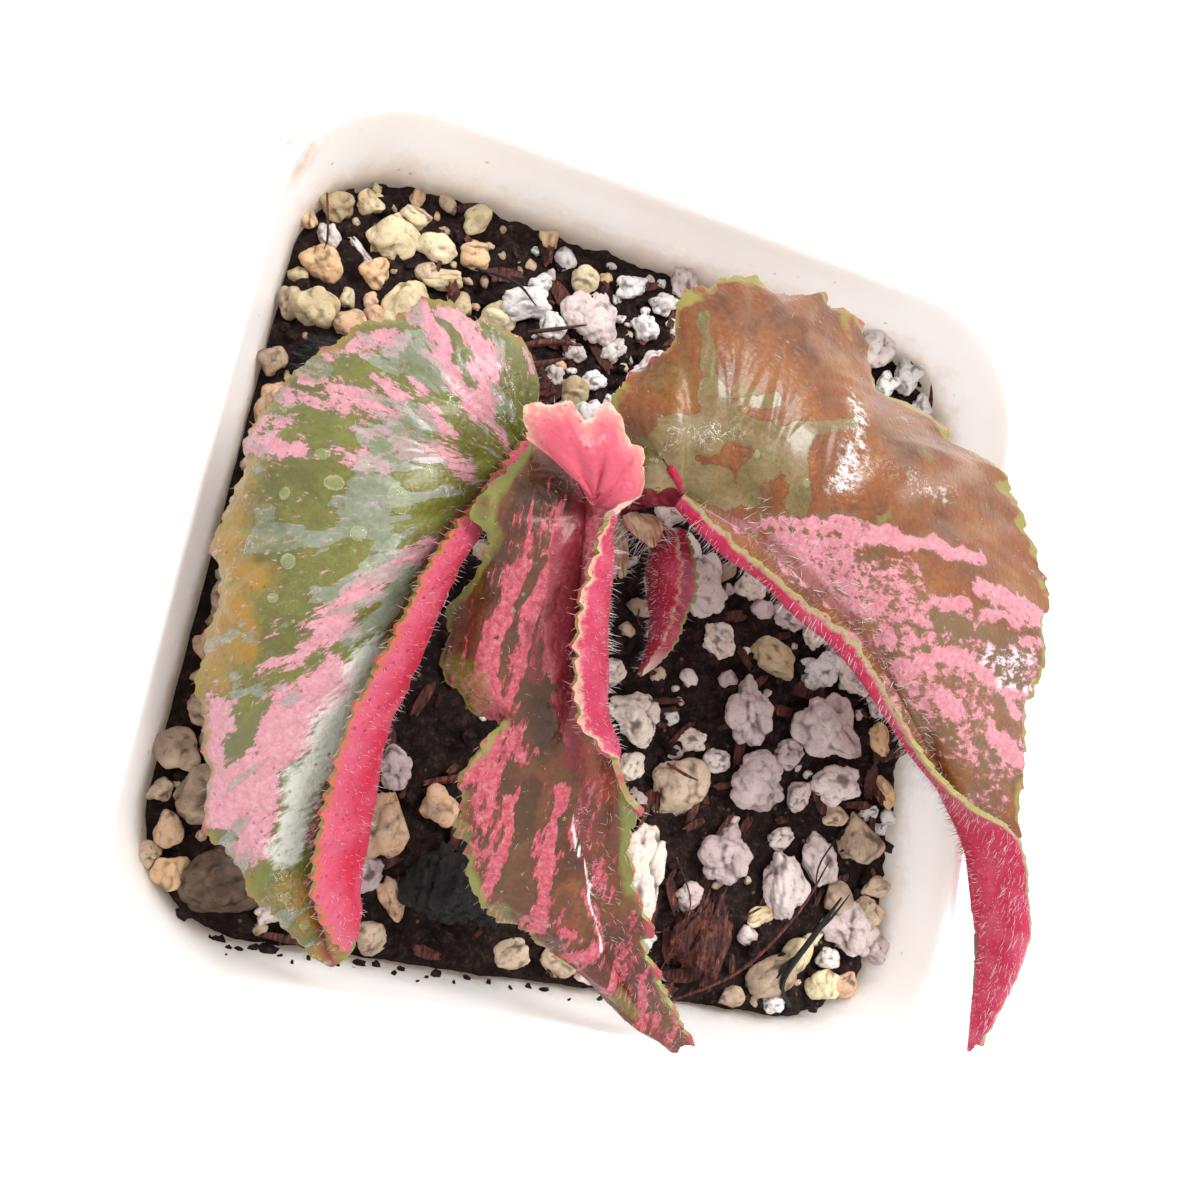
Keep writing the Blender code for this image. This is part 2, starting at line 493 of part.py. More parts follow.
def make_pot(parts, cutters):
    shape = bmesh.new()
    outer = [(0.0, -FOOT_EDGE), (FOOT_EDGE, 0.0), (POT_HEIGHT - RIM_DEPTH, 0.0)]
    rings = [rounded_square(inner_half(z) + POT_WALL + grow, corner_radius(z) + POT_WALL, z)
             for z, grow in outer]
    rim_half = POT_RIM_WIDTH / 2
    rim_radius = CORNER_RADIUS + (POT_RIM_WIDTH - POT_INNER_WIDTH) / 2
    rings.append(rounded_square(rim_half, rim_radius, POT_HEIGHT - RIM_DEPTH + RIM_EDGE))
    rings.append(rounded_square(rim_half, rim_radius, POT_HEIGHT - RIM_EDGE))
    rings.append(rounded_square(rim_half - RIM_EDGE, rim_radius - RIM_EDGE, POT_HEIGHT))
    rings.append(rounded_square(inner_half(POT_HEIGHT) + RIM_EDGE / 2, CORNER_RADIUS, POT_HEIGHT))
    rings.append(rounded_square(inner_half(POT_HEIGHT - RIM_EDGE), CORNER_RADIUS, POT_HEIGHT - RIM_EDGE))
    rings.append(rounded_square(inner_half(POT_FLOOR), corner_radius(POT_FLOOR), POT_FLOOR))
    made = loft(shape, rings)
    shape.faces.new(list(reversed(made[0])))
    shape.faces.new(made[-1])
    pot = add_object("pot", shape, parts, "pot")
    for x, y in ((1, 1), (-1, 1), (-1, -1), (1, -1)):
        add_drill("drain_drill", x * DRAIN_REACH, y * DRAIN_REACH, DRAIN_RADIUS,
                  -POT_FLOOR, 2 * POT_FLOOR, cutters)
    cut(pot, cutters)
    remove_cutters(cutters)


def soil_height(x, y):
    """The soil's surface: a gentle slope with swells, and grit standing in it."""
    swell = noise.noise(Vector((x, y, 0.0)) / SOIL_SWELL_LENGTH) * SOIL_SWELL
    nearest = noise.voronoi(Vector((x, y, 0.0)) / GRIT_SPACING)[0][0]
    grit = max(0.0, 1 - nearest * 1.5) * GRIT_HEIGHT
    return SOIL_TOP - SOIL_TILT * y + swell + grit


def make_soil(parts):
    shape = bmesh.new()
    bottom = POT_FLOOR + GAP
    rings = [rounded_square(inner_half(bottom) - GAP, corner_radius(bottom) - GAP, bottom)]
    edge_height = SOIL_TOP - SOIL_EDGE_DEPTH
    rings.append(rounded_square(inner_half(edge_height) - GAP, corner_radius(edge_height) - GAP,
                                edge_height))
    top_half = inner_half(edge_height) - GAP
    for ring in range(SOIL_RINGS):
        share = 1 - ring / SOIL_RINGS
        half = top_half * share
        outline = rounded_square(half, corner_radius(SOIL_TOP) * share, 0.0)
        for point in outline:
            point.z = soil_height(point.x, point.y)
        rings.append(outline)
    made = loft(shape, rings)
    shape.faces.new(list(reversed(made[0])))
    middle = shape.verts.new((0.0, 0.0, soil_height(0.0, 0.0)))
    last = made[-1]
    for i, point in enumerate(last):
        shape.faces.new((point, last[(i + 1) % len(last)], middle))
    bmesh.ops.triangulate(shape, faces=[face for face in shape.faces if len(face.verts) == 4])
    return add_object("soil", shape, parts, "soil")


def stone_shape(x, y, length, width, height, turn, grow=0.0):
    """A lumpy stone that sits partly in the soil. grow makes the same stone bigger all over."""
    shape = bmesh.new()
    bmesh.ops.create_icosphere(shape, subdivisions=2, radius=1.0)
    for vert in shape.verts:
        out = 1 + STONE_LUMPS * noise.noise(vert.co * STONE_LUMP_RATE + Vector((x, y, length)))
        axes = Vector((length / 2, width / 2, height / 2)) * out
        vert.co = Vector([c * (a + grow) for c, a in zip(vert.co, axes)])
    base = SOIL_TOP - SOIL_TILT * y + height * STONE_RISE
    place = Matrix.Translation((x, y, base)) @ Matrix.Rotation(math.radians(turn), 4, "Z")
    bmesh.ops.transform(shape, matrix=place, verts=shape.verts)
    return shape


def make_stones(parts, cutters):
    for kind, places in STONES.items():
        for number, place in enumerate(places, 1):
            name = f"{kind}_{number}" if len(places) > 1 else kind
            add_object(name, stone_shape(*place), parts, kind)
            add_object(name + "_seat", stone_shape(*place, grow=GAP), cutters)


def tube(path, radii):
    """A round tube through a few points, made as a curve and turned to a closed mesh."""
    curve = bpy.data.curves.new("tube", "CURVE")
    curve.dimensions = "3D"
    curve.bevel_depth = MM
    curve.bevel_resolution = 2
    curve.use_fill_caps = True
    steps = np.linspace(0, len(path) - 1, 3 * len(path) - 2)
    points = smooth_curve(path, steps)
    spline = curve.splines.new("POLY")
    spline.points.add(len(points) - 1)
    for target, point, step in zip(spline.points, points, steps):
        target.co = (*(point * MM), 1.0)
        target.radius = float(np.interp(step, range(len(path)), radii))
    made = bpy.data.objects.new("tube", curve)
    bpy.context.scene.collection.objects.link(made)
    bpy.context.view_layer.update()
    graph = bpy.context.evaluated_depsgraph_get()
    shape = bmesh.new()
    shape.from_mesh(bpy.data.meshes.new_from_object(made.evaluated_get(graph)))
    bpy.data.objects.remove(made)
    bmesh.ops.remove_doubles(shape, verts=shape.verts, dist=SCRAP_DISTANCE * MM)
    bmesh.ops.recalc_face_normals(shape, faces=shape.faces)
    bmesh.ops.scale(shape, vec=(1 / MM, 1 / MM, 1 / MM), verts=shape.verts)
    return shape


def make_stem(parts, cutters):
    """The rhizome with the four petioles fused to it."""
    stem = add_object("stem", tube(STEM_PATH, STEM_RADII), parts, "stem")
    for path, radius in PETIOLES:
        add_object("petiole", tube(path, [radius] * len(path)), cutters)
    join(stem, cutters)
    remove_cutters(cutters)


def smooth_curve(points, steps):
    """Catmull-Rom curve through the points, read at steps from 0 to the last point's number."""
    points = np.asarray(points, float)
    padded = np.vstack([2 * points[0] - points[1], points, 2 * points[-1] - points[-2]])
    steps = np.clip(np.asarray(steps, float), 0, len(points) - 1 - 1e-9)
    first = np.floor(steps).astype(int)
    t = (steps - first)[:, None]
    a, b, c, d = (padded[first + k] for k in range(4))
    return 0.5 * (2 * b + (c - a) * t + (2 * a - 5 * b + 4 * c - d) * t**2 + (3 * b - a - 3 * c + d) * t**3)


def smooth_section(points, shares):
    """Smooth path through a section's few points, read at shares of its length."""
    points = np.asarray(points, float)
    spans = np.linalg.norm(np.diff(points, axis=0), axis=1) + 1e-4
    knots = np.concatenate([[0], np.cumsum(spans)]) / spans.sum()
    slopes = np.gradient(points, knots, axis=0, edge_order=2)
    span = np.clip(np.searchsorted(knots, shares, side="right") - 1, 0, len(points) - 2)
    width = (knots[span + 1] - knots[span])[:, None]
    t = (shares[:, None] - knots[span][:, None]) / width
    start, end = points[span], points[span + 1]
    leave, arrive = slopes[span] * width, slopes[span + 1] * width
    return ((2 * t**3 - 3 * t**2 + 1) * start + (t**3 - 2 * t**2 + t) * leave
            + (3 * t**2 - 2 * t**3) * end + (t**3 - t**2) * arrive)


def along(curve):
    """The distance along a dense curve, as shares of its whole length."""
    length = np.concatenate([[0], np.cumsum(np.linalg.norm(np.diff(curve, axis=0), axis=1))])
    return length / length[-1], length[-1]


def blade_half(midrib, sections, columns, rows):
    """A grid of points from the midrib to the margin, and each column's share of the midrib."""
    dense = np.linspace(0, len(sections) - 1, 40 * len(sections))
    share, length = along(smooth_curve([points[-1] for _, points in sections], dense))
    steps = np.interp(np.linspace(0, 1, columns), share, dense)
    starts = np.interp(steps, range(len(sections)), [start for start, _ in sections])
    rib_dense = np.linspace(0, len(midrib) - 1, 40 * len(midrib))
    rib_share, _ = along(smooth_curve(midrib, rib_dense))
    guides = [smooth_curve(midrib, np.interp(starts, rib_share, rib_dense))]
    for number in range(len(sections[0][1])):
        guides.append(smooth_curve([points[number] for _, points in sections], steps))
    shares = np.linspace(0, 1, rows + 1) ** 0.9
    grid = np.array([smooth_section(column, shares) for column in np.stack(guides, 1)])
    reach = np.linalg.norm(grid[:, -1] - grid[:, 0], axis=1)
    for column in range(columns):
        out = grid[column, -1] - grid[column, -2]
        size = np.linalg.norm(out)
        if size < 1e-3:
            continue
        tooth = (column % TOOTH_COLUMNS) / (TOOTH_COLUMNS - 1)
        grid[column, -1] += out / size * tooth * min(TOOTH_DEPTH, TOOTH_SHARE * reach[column])
    place = np.linspace(0, length, columns)
    ripple = np.sin(place * 2 * math.pi / RIPPLE_LENGTH) * RIPPLE_HEIGHT
    ripple *= np.clip(reach / 12, 0, 1)
    grid[:, :, 2] += ripple[:, None] * shares[None, :] ** 2
    return grid, starts


def make_leaf(name, leaf, rows, parts, cutters):
    """A thin waved blade: two half grids that share the midrib's points, given a thickness."""
    shape = bmesh.new()
    midrib = leaf["midrib"]
    dense = np.linspace(0, len(midrib) - 1, 40 * len(midrib))
    share, _ = along(smooth_curve(midrib, dense))
    stations = np.linspace(0, 1, leaf["stations"])
    rib = [shape.verts.new(point) for point in smooth_curve(midrib, np.interp(stations, share, dense))]
    for sections, columns, count, flip in ((leaf["broad"], leaf["columns"][0], rows[0], False),
                                           (leaf["rolled"], leaf["columns"][1], rows[1], True)):
        grid, starts = blade_half(midrib, sections, columns, count)
        feet = [int(round(start * (len(stations) - 1))) for start in starts]
        points = [[shape.verts.new(point) for point in column[1:]] for column in grid]
        for i in range(columns - 1):
            side = [rib[k] for k in range(feet[i], feet[i + 1] + 1)]
            faces = [side + [points[i + 1][0], points[i][0]]]
            for k in range(count - 1):
                faces.append([points[i][k], points[i + 1][k], points[i + 1][k + 1], points[i][k + 1]])
            for face in faces:
                shape.faces.new(face[::-1] if flip else face)
    bmesh.ops.remove_doubles(shape, verts=shape.verts, dist=MERGE_DISTANCE)
    loose = [vert for vert in shape.verts if not vert.link_faces]
    bmesh.ops.delete(shape, geom=loose, context="VERTS")
    bmesh.ops.triangulate(shape, faces=shape.faces)
    blade = add_object(name, shape, parts, name)
    thicken = blade.modifiers.new("thickness", "SOLIDIFY")
    thicken.thickness = LEAF_THICKNESS * MM
    thicken.offset = 0.0
    apply_modifiers(blade)
    ends = smooth_curve(midrib, np.interp([leaf["broad"][0][0], 1.0], share, dense))
    for end, radius in zip(ends, (leaf["knob"], TIP_RADIUS)):
        knob = bmesh.new()
        place = Matrix.Translation(Vector(end) - Vector((0, 0, KNOB_DROP)))
        bmesh.ops.create_icosphere(knob, subdivisions=1, radius=radius, matrix=place)
        add_object("knob", knob, cutters)
    join(blade, cutters)
    remove_cutters(cutters)
    clean_up(blade)


def main():
    for old in list(bpy.data.objects):
        bpy.data.objects.remove(old)
    parts = bpy.data.collections.new("potted_begonia")
    cutters = bpy.data.collections.new("cutters")
    cutters.hide_render = True
    for collection in (parts, cutters):
        bpy.context.scene.collection.children.link(collection)
    make_pot(parts, cutters)
    make_stem(parts, cutters)
    soil = make_soil(parts)
    make_stones(parts, cutters)
    x, y, _ = STEM_PATH[0]
    add_drill("stem_hole", x, y, STEM_HOLE_RADIUS, STEM_HOLE_FLOOR, POT_HEIGHT, cutters)
    cut(soil, cutters)
    remove_cutters(cutters)
    for name, leaf in LEAVES.items():
        make_leaf(name, leaf, LEAF_ROWS, parts, cutters)
    for name, scale in STIPULES.items():
        make_leaf(name, scale, SCALE_ROWS, parts, cutters)


main()
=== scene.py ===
"""Potted begonia, dressed: the plant, its gritty mix and the white nursery pot as the eye sees them.

Blender 4.5. The frame is in metres; lengths in the tables below are millimetres.
"""

import math
from functools import partial

import bpy
import numpy as np
from mathutils import Matrix, Vector, noise


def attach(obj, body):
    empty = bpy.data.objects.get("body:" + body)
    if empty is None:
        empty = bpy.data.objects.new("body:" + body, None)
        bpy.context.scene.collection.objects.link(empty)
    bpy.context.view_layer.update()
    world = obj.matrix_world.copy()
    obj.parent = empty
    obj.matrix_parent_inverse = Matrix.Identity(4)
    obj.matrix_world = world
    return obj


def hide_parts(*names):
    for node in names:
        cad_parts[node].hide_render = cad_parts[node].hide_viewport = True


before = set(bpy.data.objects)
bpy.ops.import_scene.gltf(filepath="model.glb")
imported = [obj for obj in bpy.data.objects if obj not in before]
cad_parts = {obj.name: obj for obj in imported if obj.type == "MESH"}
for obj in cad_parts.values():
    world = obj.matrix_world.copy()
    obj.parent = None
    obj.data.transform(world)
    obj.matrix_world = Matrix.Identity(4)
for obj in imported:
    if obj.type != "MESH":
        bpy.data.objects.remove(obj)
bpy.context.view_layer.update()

MM = 0.001

# Pot, as in the part's source
POT_HEIGHT = 75.0
POT_INNER_WIDTH = 77.0
POT_TAPER = 0.13
POT_FLOOR = 1.6
POT_FOOT_HALF = 29.1
POT_FOOT_RADIUS = 9.4
POT_CORNER_SEGMENTS = 18
DRAIN_RADIUS = 3.0
DRAIN_REACH = 17.0
DRILL_LENGTH = 8
# Height and half width of each ring of the wall, from the foot up outside, over the rolled rim and
# down inside
POT_PROFILE = [
    (0.2, 29.45), (0.6, 29.75), (1.4, 29.95), (24, 32.87), (48, 35.99), (71.6, 39.06), (72, 39.2),
    (72.3, 39.75), (72.7, 39.98), (73.4, 40), (74.1, 40), (74.6, 39.88), (74.9, 39.62), (75, 39.3), (75, 39),
    (74.9, 38.72), (74.6, 38.55), (74, 38.42), (66, 37.33), (50, 35.25), (30, 32.65), (6, 29.53), (2.6, 29),
    (1.6, 28),
]

# Soil surface, as in the part's source
SOIL_TOP = 65.6
SOIL_TILT = 0.035
SOIL_SWELL = 0.8
SOIL_SWELL_LENGTH = 14.0
SOIL_CORNER = 11.5
SOIL_GAP = 0.35
# How far its border goes straight down and draws in, and then on to the pot's floor
SOIL_SKIRT_DROP = 6
SOIL_SKIRT_SHARE = 0.978
SOIL_BED_DROP = 40
SOIL_BED_SHARE = 0.79
CRUMB_LENGTH = 2.2
CLOD_LENGTH = 3.1
SMALL_CLOD_LENGTH = 1.1
# How far a stone may press into the pot's wall
WALL_BITE = 0.3
SOIL_GRID = 168

# Stem and petioles, as in the part's source: paths and radii
STEM_PATH = [(-4.5, 8.0, 50.4), (-4.5, 8.0, 66.0), (-5.0, 7.5, 73.0), (-5.5, 6.5, 79.0)]
STEM_RADII = [2.9, 3.1, 2.7, 2.1]
PETIOLES = [
    ([(-5.2, 7, 76), (-8, 8.6, 78.6), (-11, 9, 79.8), (-13.2, 9.3, 80.6)], 1.1),
    ([(-5.4, 6.6, 77), (-7.4, 6, 81), (-9.2, 4.6, 85), (-9.8, 3.9, 88)], 1.2),
    ([(-5, 6.6, 77), (-3.8, 7, 81.5), (-2.8, 6.9, 85), (-2.2, 6.6, 86.8)], 1.1),
    ([(-4.6, 6, 77), (-3, 5.4, 79.6), (-2.1, 4.9, 81.7)], 0.7),
]

# Leaves, as in the part's source. Each is a midrib from base to tip and two halves. A half is a
# list of sections that run from the midrib to the margin along the veins: where on the midrib it
# starts, as a share, and the x, y, z of each point that it passes through.
LEAVES = {
    "leaf_left": {
        "midrib": [
            -14, 9.5, 81.5, -17, 4.5, 83.5, -20, -1.5, 84.5, -22, -8.5, 84.5, -23.5, -15.5, 83, -23.5, -23, 80,
            -22.5, -30.5, 77.5, -19.5, -36, 76.5,
        ],
        "broad": [
            (0, -14.5, 11.5, 83.5, -15, 14.5, 83), (0, -17.5, 13, 85.5, -19, 17, 84),
            (0.02, -21, 11.5, 86.5, -25, 17, 84.5), (0.05, -23, 9, 86.5, -30, 13, 83),
            (0.09, -25, 5, 86.5, -34.5, 7, 81), (0.14, -26.5, 0.5, 86.5, -36, 1.5, 80),
            (0.22, -27.5, -4, 86, -36, -5.5, 79), (0.33, -28, -10, 85.5, -35, -13, 78.5),
            (0.47, -28, -16, 83.5, -33, -20, 78), (0.63, -28, -22.5, 81, -31.5, -26, 77.5),
            (0.78, -26, -28, 79, -27.5, -30, 77), (0.9, -23, -32.5, 77.5, -24, -33.5, 76.5),
            (1, -19.5, -36, 76.5, -19.5, -36, 76.5),
        ],
        "rolled": [
            (0, -13.5, 9.5, 82, -13, 10, 83, -13.5, 10, 84),
            (0.06, -15.5, 6.5, 83, -14.5, 6.5, 84, -15.5, 7, 85),
            (0.16, -17.5, 1.5, 84, -16.5, 1.5, 85, -18, 1.5, 86.5),
            (0.27, -19.5, -4.5, 84.5, -18.5, -4, 86, -20.5, -4, 88),
            (0.42, -20.5, -10.5, 83.5, -19.5, -10, 85.5, -22, -10.5, 87.5),
            (0.56, -21.5, -17.5, 81, -20.5, -16.5, 83.5, -23.5, -17, 86),
            (0.71, -21, -25.5, 78.5, -20, -23, 81, -23.5, -23.5, 84),
            (0.83, -20.5, -31, 77.5, -19.5, -28.5, 79.5, -23, -29, 82.5),
            (0.92, -19.5, -34, 77, -18.5, -32.5, 78.5, -21, -32.5, 80.5),
            (1, -19, -35.5, 76.5, -18.5, -34.5, 77, -19, -34.5, 78),
        ],
        "columns": 300,
        "rows": (40, 30),
        "fan": (0, 0),
        "veins": ([1, 2.4, 4, 5.8, 7.4, 8.9, 10.2], [2.5, 4.5, 6.5]),
    },
    "leaf_middle": {
        "midrib": [
            -10, 3, 91, -10, 3.5, 89, -9.5, -1, 89, -8.5, -7.5, 88.5, -7.5, -12, 87.5, -5, -17.5, 85.5, -2.5,
            -24, 83, 0.5, -29.5, 81, 4.5, -34, 79, 8, -37.5, 78, 11.5, -39, 77,
        ],
        "broad": [
            (0.05, -11, 4.5, 88.5, -12, 6, 88, -13, 7.5, 87.5),
            (0.05, -11.5, 4.5, 89, -13.5, 5.5, 89, -15.5, 7, 88.5),
            (0.05, -12, 3, 89.5, -14.5, 3.5, 89.5, -17, 3.5, 88.5),
            (0.05, -12, 1.5, 89.5, -15, 1, 89.5, -18, 0.5, 88.5),
            (0.07, -12, -0.5, 89.5, -14.5, -1.5, 89, -16.5, -2, 87.5),
            (0.1, -12, -3, 89.5, -14.5, -4.5, 88.5, -17, -6, 84.5),
            (0.14, -11.5, -5.5, 89, -15, -7, 88, -17, -8.5, 83.5),
            (0.18, -11, -8.5, 89, -15, -9.5, 87.5, -17, -11, 83.5),
            (0.22, -10.5, -11, 88.5, -14, -12, 87.5, -14.5, -13, 84),
            (0.26, -9.5, -13.5, 88, -13, -13, 87.5, -12.5, -14, 84.5),
            (0.28, -9, -15, 87, -11.5, -14.5, 87.5, -12, -14.5, 87),
            (0.32, -9, -17, 86, -11.5, -16.5, 86.5, -13.5, -17.5, 86),
            (0.38, -8.5, -20, 85, -11.5, -20, 85, -14, -20.5, 84),
            (0.46, -7.5, -23, 84, -10, -23.5, 84, -12, -24.5, 82.5),
            (0.55, -6, -26.5, 82.5, -8, -27, 82, -9, -28, 81),
            (0.62, -3.5, -29.5, 81.5, -5, -29.5, 81, -7, -30, 80),
            (0.68, -1, -31.5, 80.5, -2, -31.5, 80, -3, -31.5, 79.5),
            (0.75, 3, -34.5, 79.5, 2, -34, 79, 1, -33.5, 79),
            (0.86, 6.5, -36.5, 78.5, 5.5, -36.5, 78.5, 5, -36, 78),
            (1, 11, -39, 77, 10.5, -38.5, 77, 10.5, -38.5, 76.5),
        ],
        "rolled": [
            (0, -11.5, 3.5, 92.5, -13.5, 4.5, 93, -15.5, 5.5, 92.5),
            (0, -12, 4, 93, -14.5, 5.5, 93.5, -16.5, 7.5, 92.5),
            (0, -12, 4.5, 93, -13.5, 6.5, 94, -14.5, 9, 92.5), (0, -11, 4.5, 93, -12, 6, 94, -12.5, 7.5, 93.5),
            (0, -10.5, 5, 93, -11, 7, 94, -11, 9.5, 92.5), (0, -10, 4.5, 93, -10, 6, 93.5, -9, 8.5, 92.5),
            (0, -9, 4, 92, -8.5, 5.5, 92.5, -7, 7, 91.5), (0, -9, 3.5, 91.5, -8, 4, 92, -6.5, 5, 91),
            (0.01, -9, 3, 91, -8.5, 3, 91.5, -8, 3, 92), (0.03, -9, 2.5, 90.5, -8.5, 2.5, 91, -9, 2, 92),
            (0.07, -9, 1.5, 90, -8.5, 1, 91, -9.5, 0.5, 92.5),
            (0.12, -8.5, -1.5, 90, -8, -1.5, 91.5, -10, -2, 93),
            (0.2, -8, -5, 89.5, -7.5, -5, 91.5, -10, -6, 93),
            (0.29, -7, -9.5, 89, -6.5, -9.5, 91, -9, -10, 92.5),
            (0.37, -6, -12.5, 88, -5.5, -12.5, 90, -7.5, -13, 91.5),
            (0.42, -4.5, -14.5, 87, -4, -14.5, 89, -5, -15, 90),
            (0.48, -3.5, -17, 86, -3, -17, 87.5, -2.5, -17.5, 88.5),
            (0.53, -2, -20, 85, -1.5, -20, 86, -0.5, -20, 86.5),
            (0.58, -1, -23, 84, -0.5, -22.5, 84.5, 0.5, -22.5, 85),
            (0.66, 1, -27, 82.5, 1.5, -26.5, 83, 2.5, -26.5, 83.5),
            (0.74, 3, -30.5, 81, 3.5, -30, 81.5, 4.5, -30, 82),
            (0.82, 5.5, -33.5, 80, 6, -33, 80.5, 7, -33, 81),
            (1, 11.5, -38.5, 77.5, 11.5, -38, 78, 12, -38, 78),
        ],
        "columns": 290,
        "rows": (30, 26),
        "fan": (0, 90),
        "veins": ([1, 3, 5, 7.2, 9.2, 11.5, 13.3, 15, 17], [2, 4, 6, 17.5, 19.4, 21]),
    },
    "leaf_right": {
        "midrib": [
            -2, 6.5, 88, 5, 4.5, 88, 11.5, 2, 87, 18.5, -1, 85, 25, -5.5, 83, 31, -10, 81, 36, -15.5, 79, 40,
            -21.5, 77.5, 44, -29, 74, 47.5, -37, 70,
        ],
        "broad": [
            (0, -3.5, 6.5, 88.5, -4, 6, 88.5), (0, -4.5, 8, 89, -6, 7.5, 88),
            (0, -5.5, 9.5, 89.5, -9, 12.5, 87.5), (0, -4.5, 11.5, 90, -6.5, 16.5, 88),
            (0, -3.5, 13.5, 90, -5.5, 20, 88.5), (0.02, -2, 15.5, 90.5, -4, 24, 88),
            (0.05, 0, 16, 90.5, 1, 27, 87), (0.07, 3, 15.5, 90, 8.5, 27.5, 85.5),
            (0.11, 5, 14.5, 90, 14, 25.5, 84.5), (0.16, 7, 12.5, 90, 18, 22, 84),
            (0.23, 10.5, 11, 89.5, 25, 20.5, 83), (0.3, 14, 8.5, 89, 32.5, 18, 82),
            (0.4, 18.5, 5.5, 87.5, 37.5, 12.5, 81), (0.5, 23.5, 1.5, 86, 41, 4.5, 81),
            (0.59, 28, -3, 84, 41, -2.5, 80), (0.67, 33, -9, 82, 41, -10, 79.5),
            (0.74, 37.5, -15, 79.5, 42.5, -15.5, 78.5), (0.86, 42.5, -23.5, 76.5, 45, -24, 76),
            (1, 48, -36.5, 69.5, 48.5, -36, 69.5),
        ],
        "rolled": [
            (0, -2, 6, 88.5, -2.7, 5.1, 89.3, -2.6, 5.8, 90.15),
            (0.03, 0.5, 4.5, 88.5, -0.7, 3.6, 89.8, -0.35, 4.3, 90.65),
            (0.09, 3.5, 3.5, 88.5, 2.3, 2.1, 89.8, 2.4, 2.8, 90.65),
            (0.15, 7, 2.5, 88, 5.8, 1.1, 89.3, 5.9, 1.55, 90.15),
            (0.22, 10.5, 1, 87.5, 9.8, -0.9, 88.8, 10.15, -0.2, 89.65),
            (0.3, 15.5, -1, 86, 14.3, -2.4, 87.8, 14.9, -1.7, 88.65),
            (0.38, 20, -3.5, 85, 18.3, -4.4, 86.3, 18.65, -3.7, 87.15),
            (0.45, 24, -6, 83.5, 22.3, -6.9, 84.8, 22.4, -6.45, 85.65),
            (0.52, 28, -9, 82, 26.8, -9.9, 83.3, 27.36, -10.38, 84.66),
            (0.6, 32.5, -13, 81, 32.3, -12.9, 82.3, 32.86, -12.98, 83.66),
            (0.66, 36, -15.5, 80.5, 37.5, -15, 82, 39.5, -15, 82.5),
            (0.76, 40.5, -21, 78.5, 42, -20.5, 79.5, 44.5, -21.5, 79.5),
            (0.85, 43.5, -26.5, 76.5, 45, -26.5, 77.5, 46.5, -26.5, 77),
            (1, 47.5, -36.5, 70.5, 47.5, -36, 71, 47.5, -36, 71.5),
        ],
        "columns": 360,
        "rows": (44, 28),
        "fan": (0, 0),
        "veins": ([1.6, 4, 6, 8, 10, 11.6, 13.2, 14.8, 16.2], [3.5, 5.5, 7.5, 9.5, 11.5]),
    },
    "leaf_young": {
        "midrib": [-1.5, 4.5, 82.5, -1.5, 1, 82, 0, -2, 80.5, 1.5, -4.5, 78.5, 1.5, -7.5, 76.5],
        "broad": [
            (0, 0, 5, 83, 0.5, 5, 83), (0.2, 1, 2.5, 82.5, 2, 3, 82.5), (0.4, 1.5, 0, 81.5, 3, 0.5, 82),
            (0.6, 1.5, -2, 80.5, 3, -2, 81), (0.8, 2, -4.5, 79, 3, -4.5, 79), (1, 2, -7, 76.5, 2.5, -6.5, 76.5),
        ],
        "rolled": [
            (0, -1.2, 4.2, 83.2, -0.6, 4.4, 84), (0.2, -1.5, 2.5, 83.5, -0.5, 3, 85),
            (0.4, -1, 0, 83, 0.5, 0.5, 84.5), (0.6, 0, -2, 81.5, 1, -2, 83),
            (0.8, 1, -4.5, 79.5, 1.5, -4.5, 80.5), (1, 1.5, -7, 77, 1.5, -6.5, 77.5),
        ],
        "columns": 80,
        "rows": (14, 14),
        "fan": (0, 0),
        "veins": ([1.5, 2.5, 3.5], [1.5, 2.5, 3.5]),
    },
    "stipule_right": {
        "midrib": [-3.8, 5, 83.4, -3.1, 4, 84.8, -2.1, 2.6, 84.2],
        "broad": [
            (0, -4.6, 4.8, 83.8, -5.2, 4.4, 83.8), (0.5, -4, 3.8, 84.6, -4.6, 3.4, 84.2),
            (1, -2.2, 2.55, 84.15, -2.3, 2.52, 84.1),
        ],
        "rolled": [
            (0, -3.2, 5, 84, -2.8, 5, 84.2), (0.5, -2.6, 4.2, 85, -2.1, 4.2, 85.2),
            (1, -2.05, 2.68, 84.25, -2, 2.75, 84.3),
        ],
        "columns": 30,
        "rows": (8, 8),
        "fan": (0, 0),
        "veins": ([0.7, 1.3], [0.7, 1.3]),
    },
    "stipule_front": {
        "midrib": [-5, 4.6, 80.4, -4.5, 2.6, 81.8, -3, 0.2, 80],
        "broad": [
            (0, -5.4, 4.4, 80.6, -5.8, 4.2, 80.4), (0.5, -4.9, 2.4, 81.7, -5.2, 2.2, 81.4),
            (1, -3.1, 0.12, 79.97, -3.2, 0.1, 79.95),
        ],
        "rolled": [
            (0, -4.6, 4.7, 80.6, -4.2, 4.8, 80.4), (0.5, -4.1, 2.8, 81.7, -3.8, 3, 81.4),
            (1, -2.92, 0.28, 79.97, -2.85, 0.32, 79.95),
        ],
        "columns": 30,
        "rows": (8, 8),
        "fan": (0, 0),
        "veins": ([0.7, 1.3], [0.7, 1.3]),
    },
}

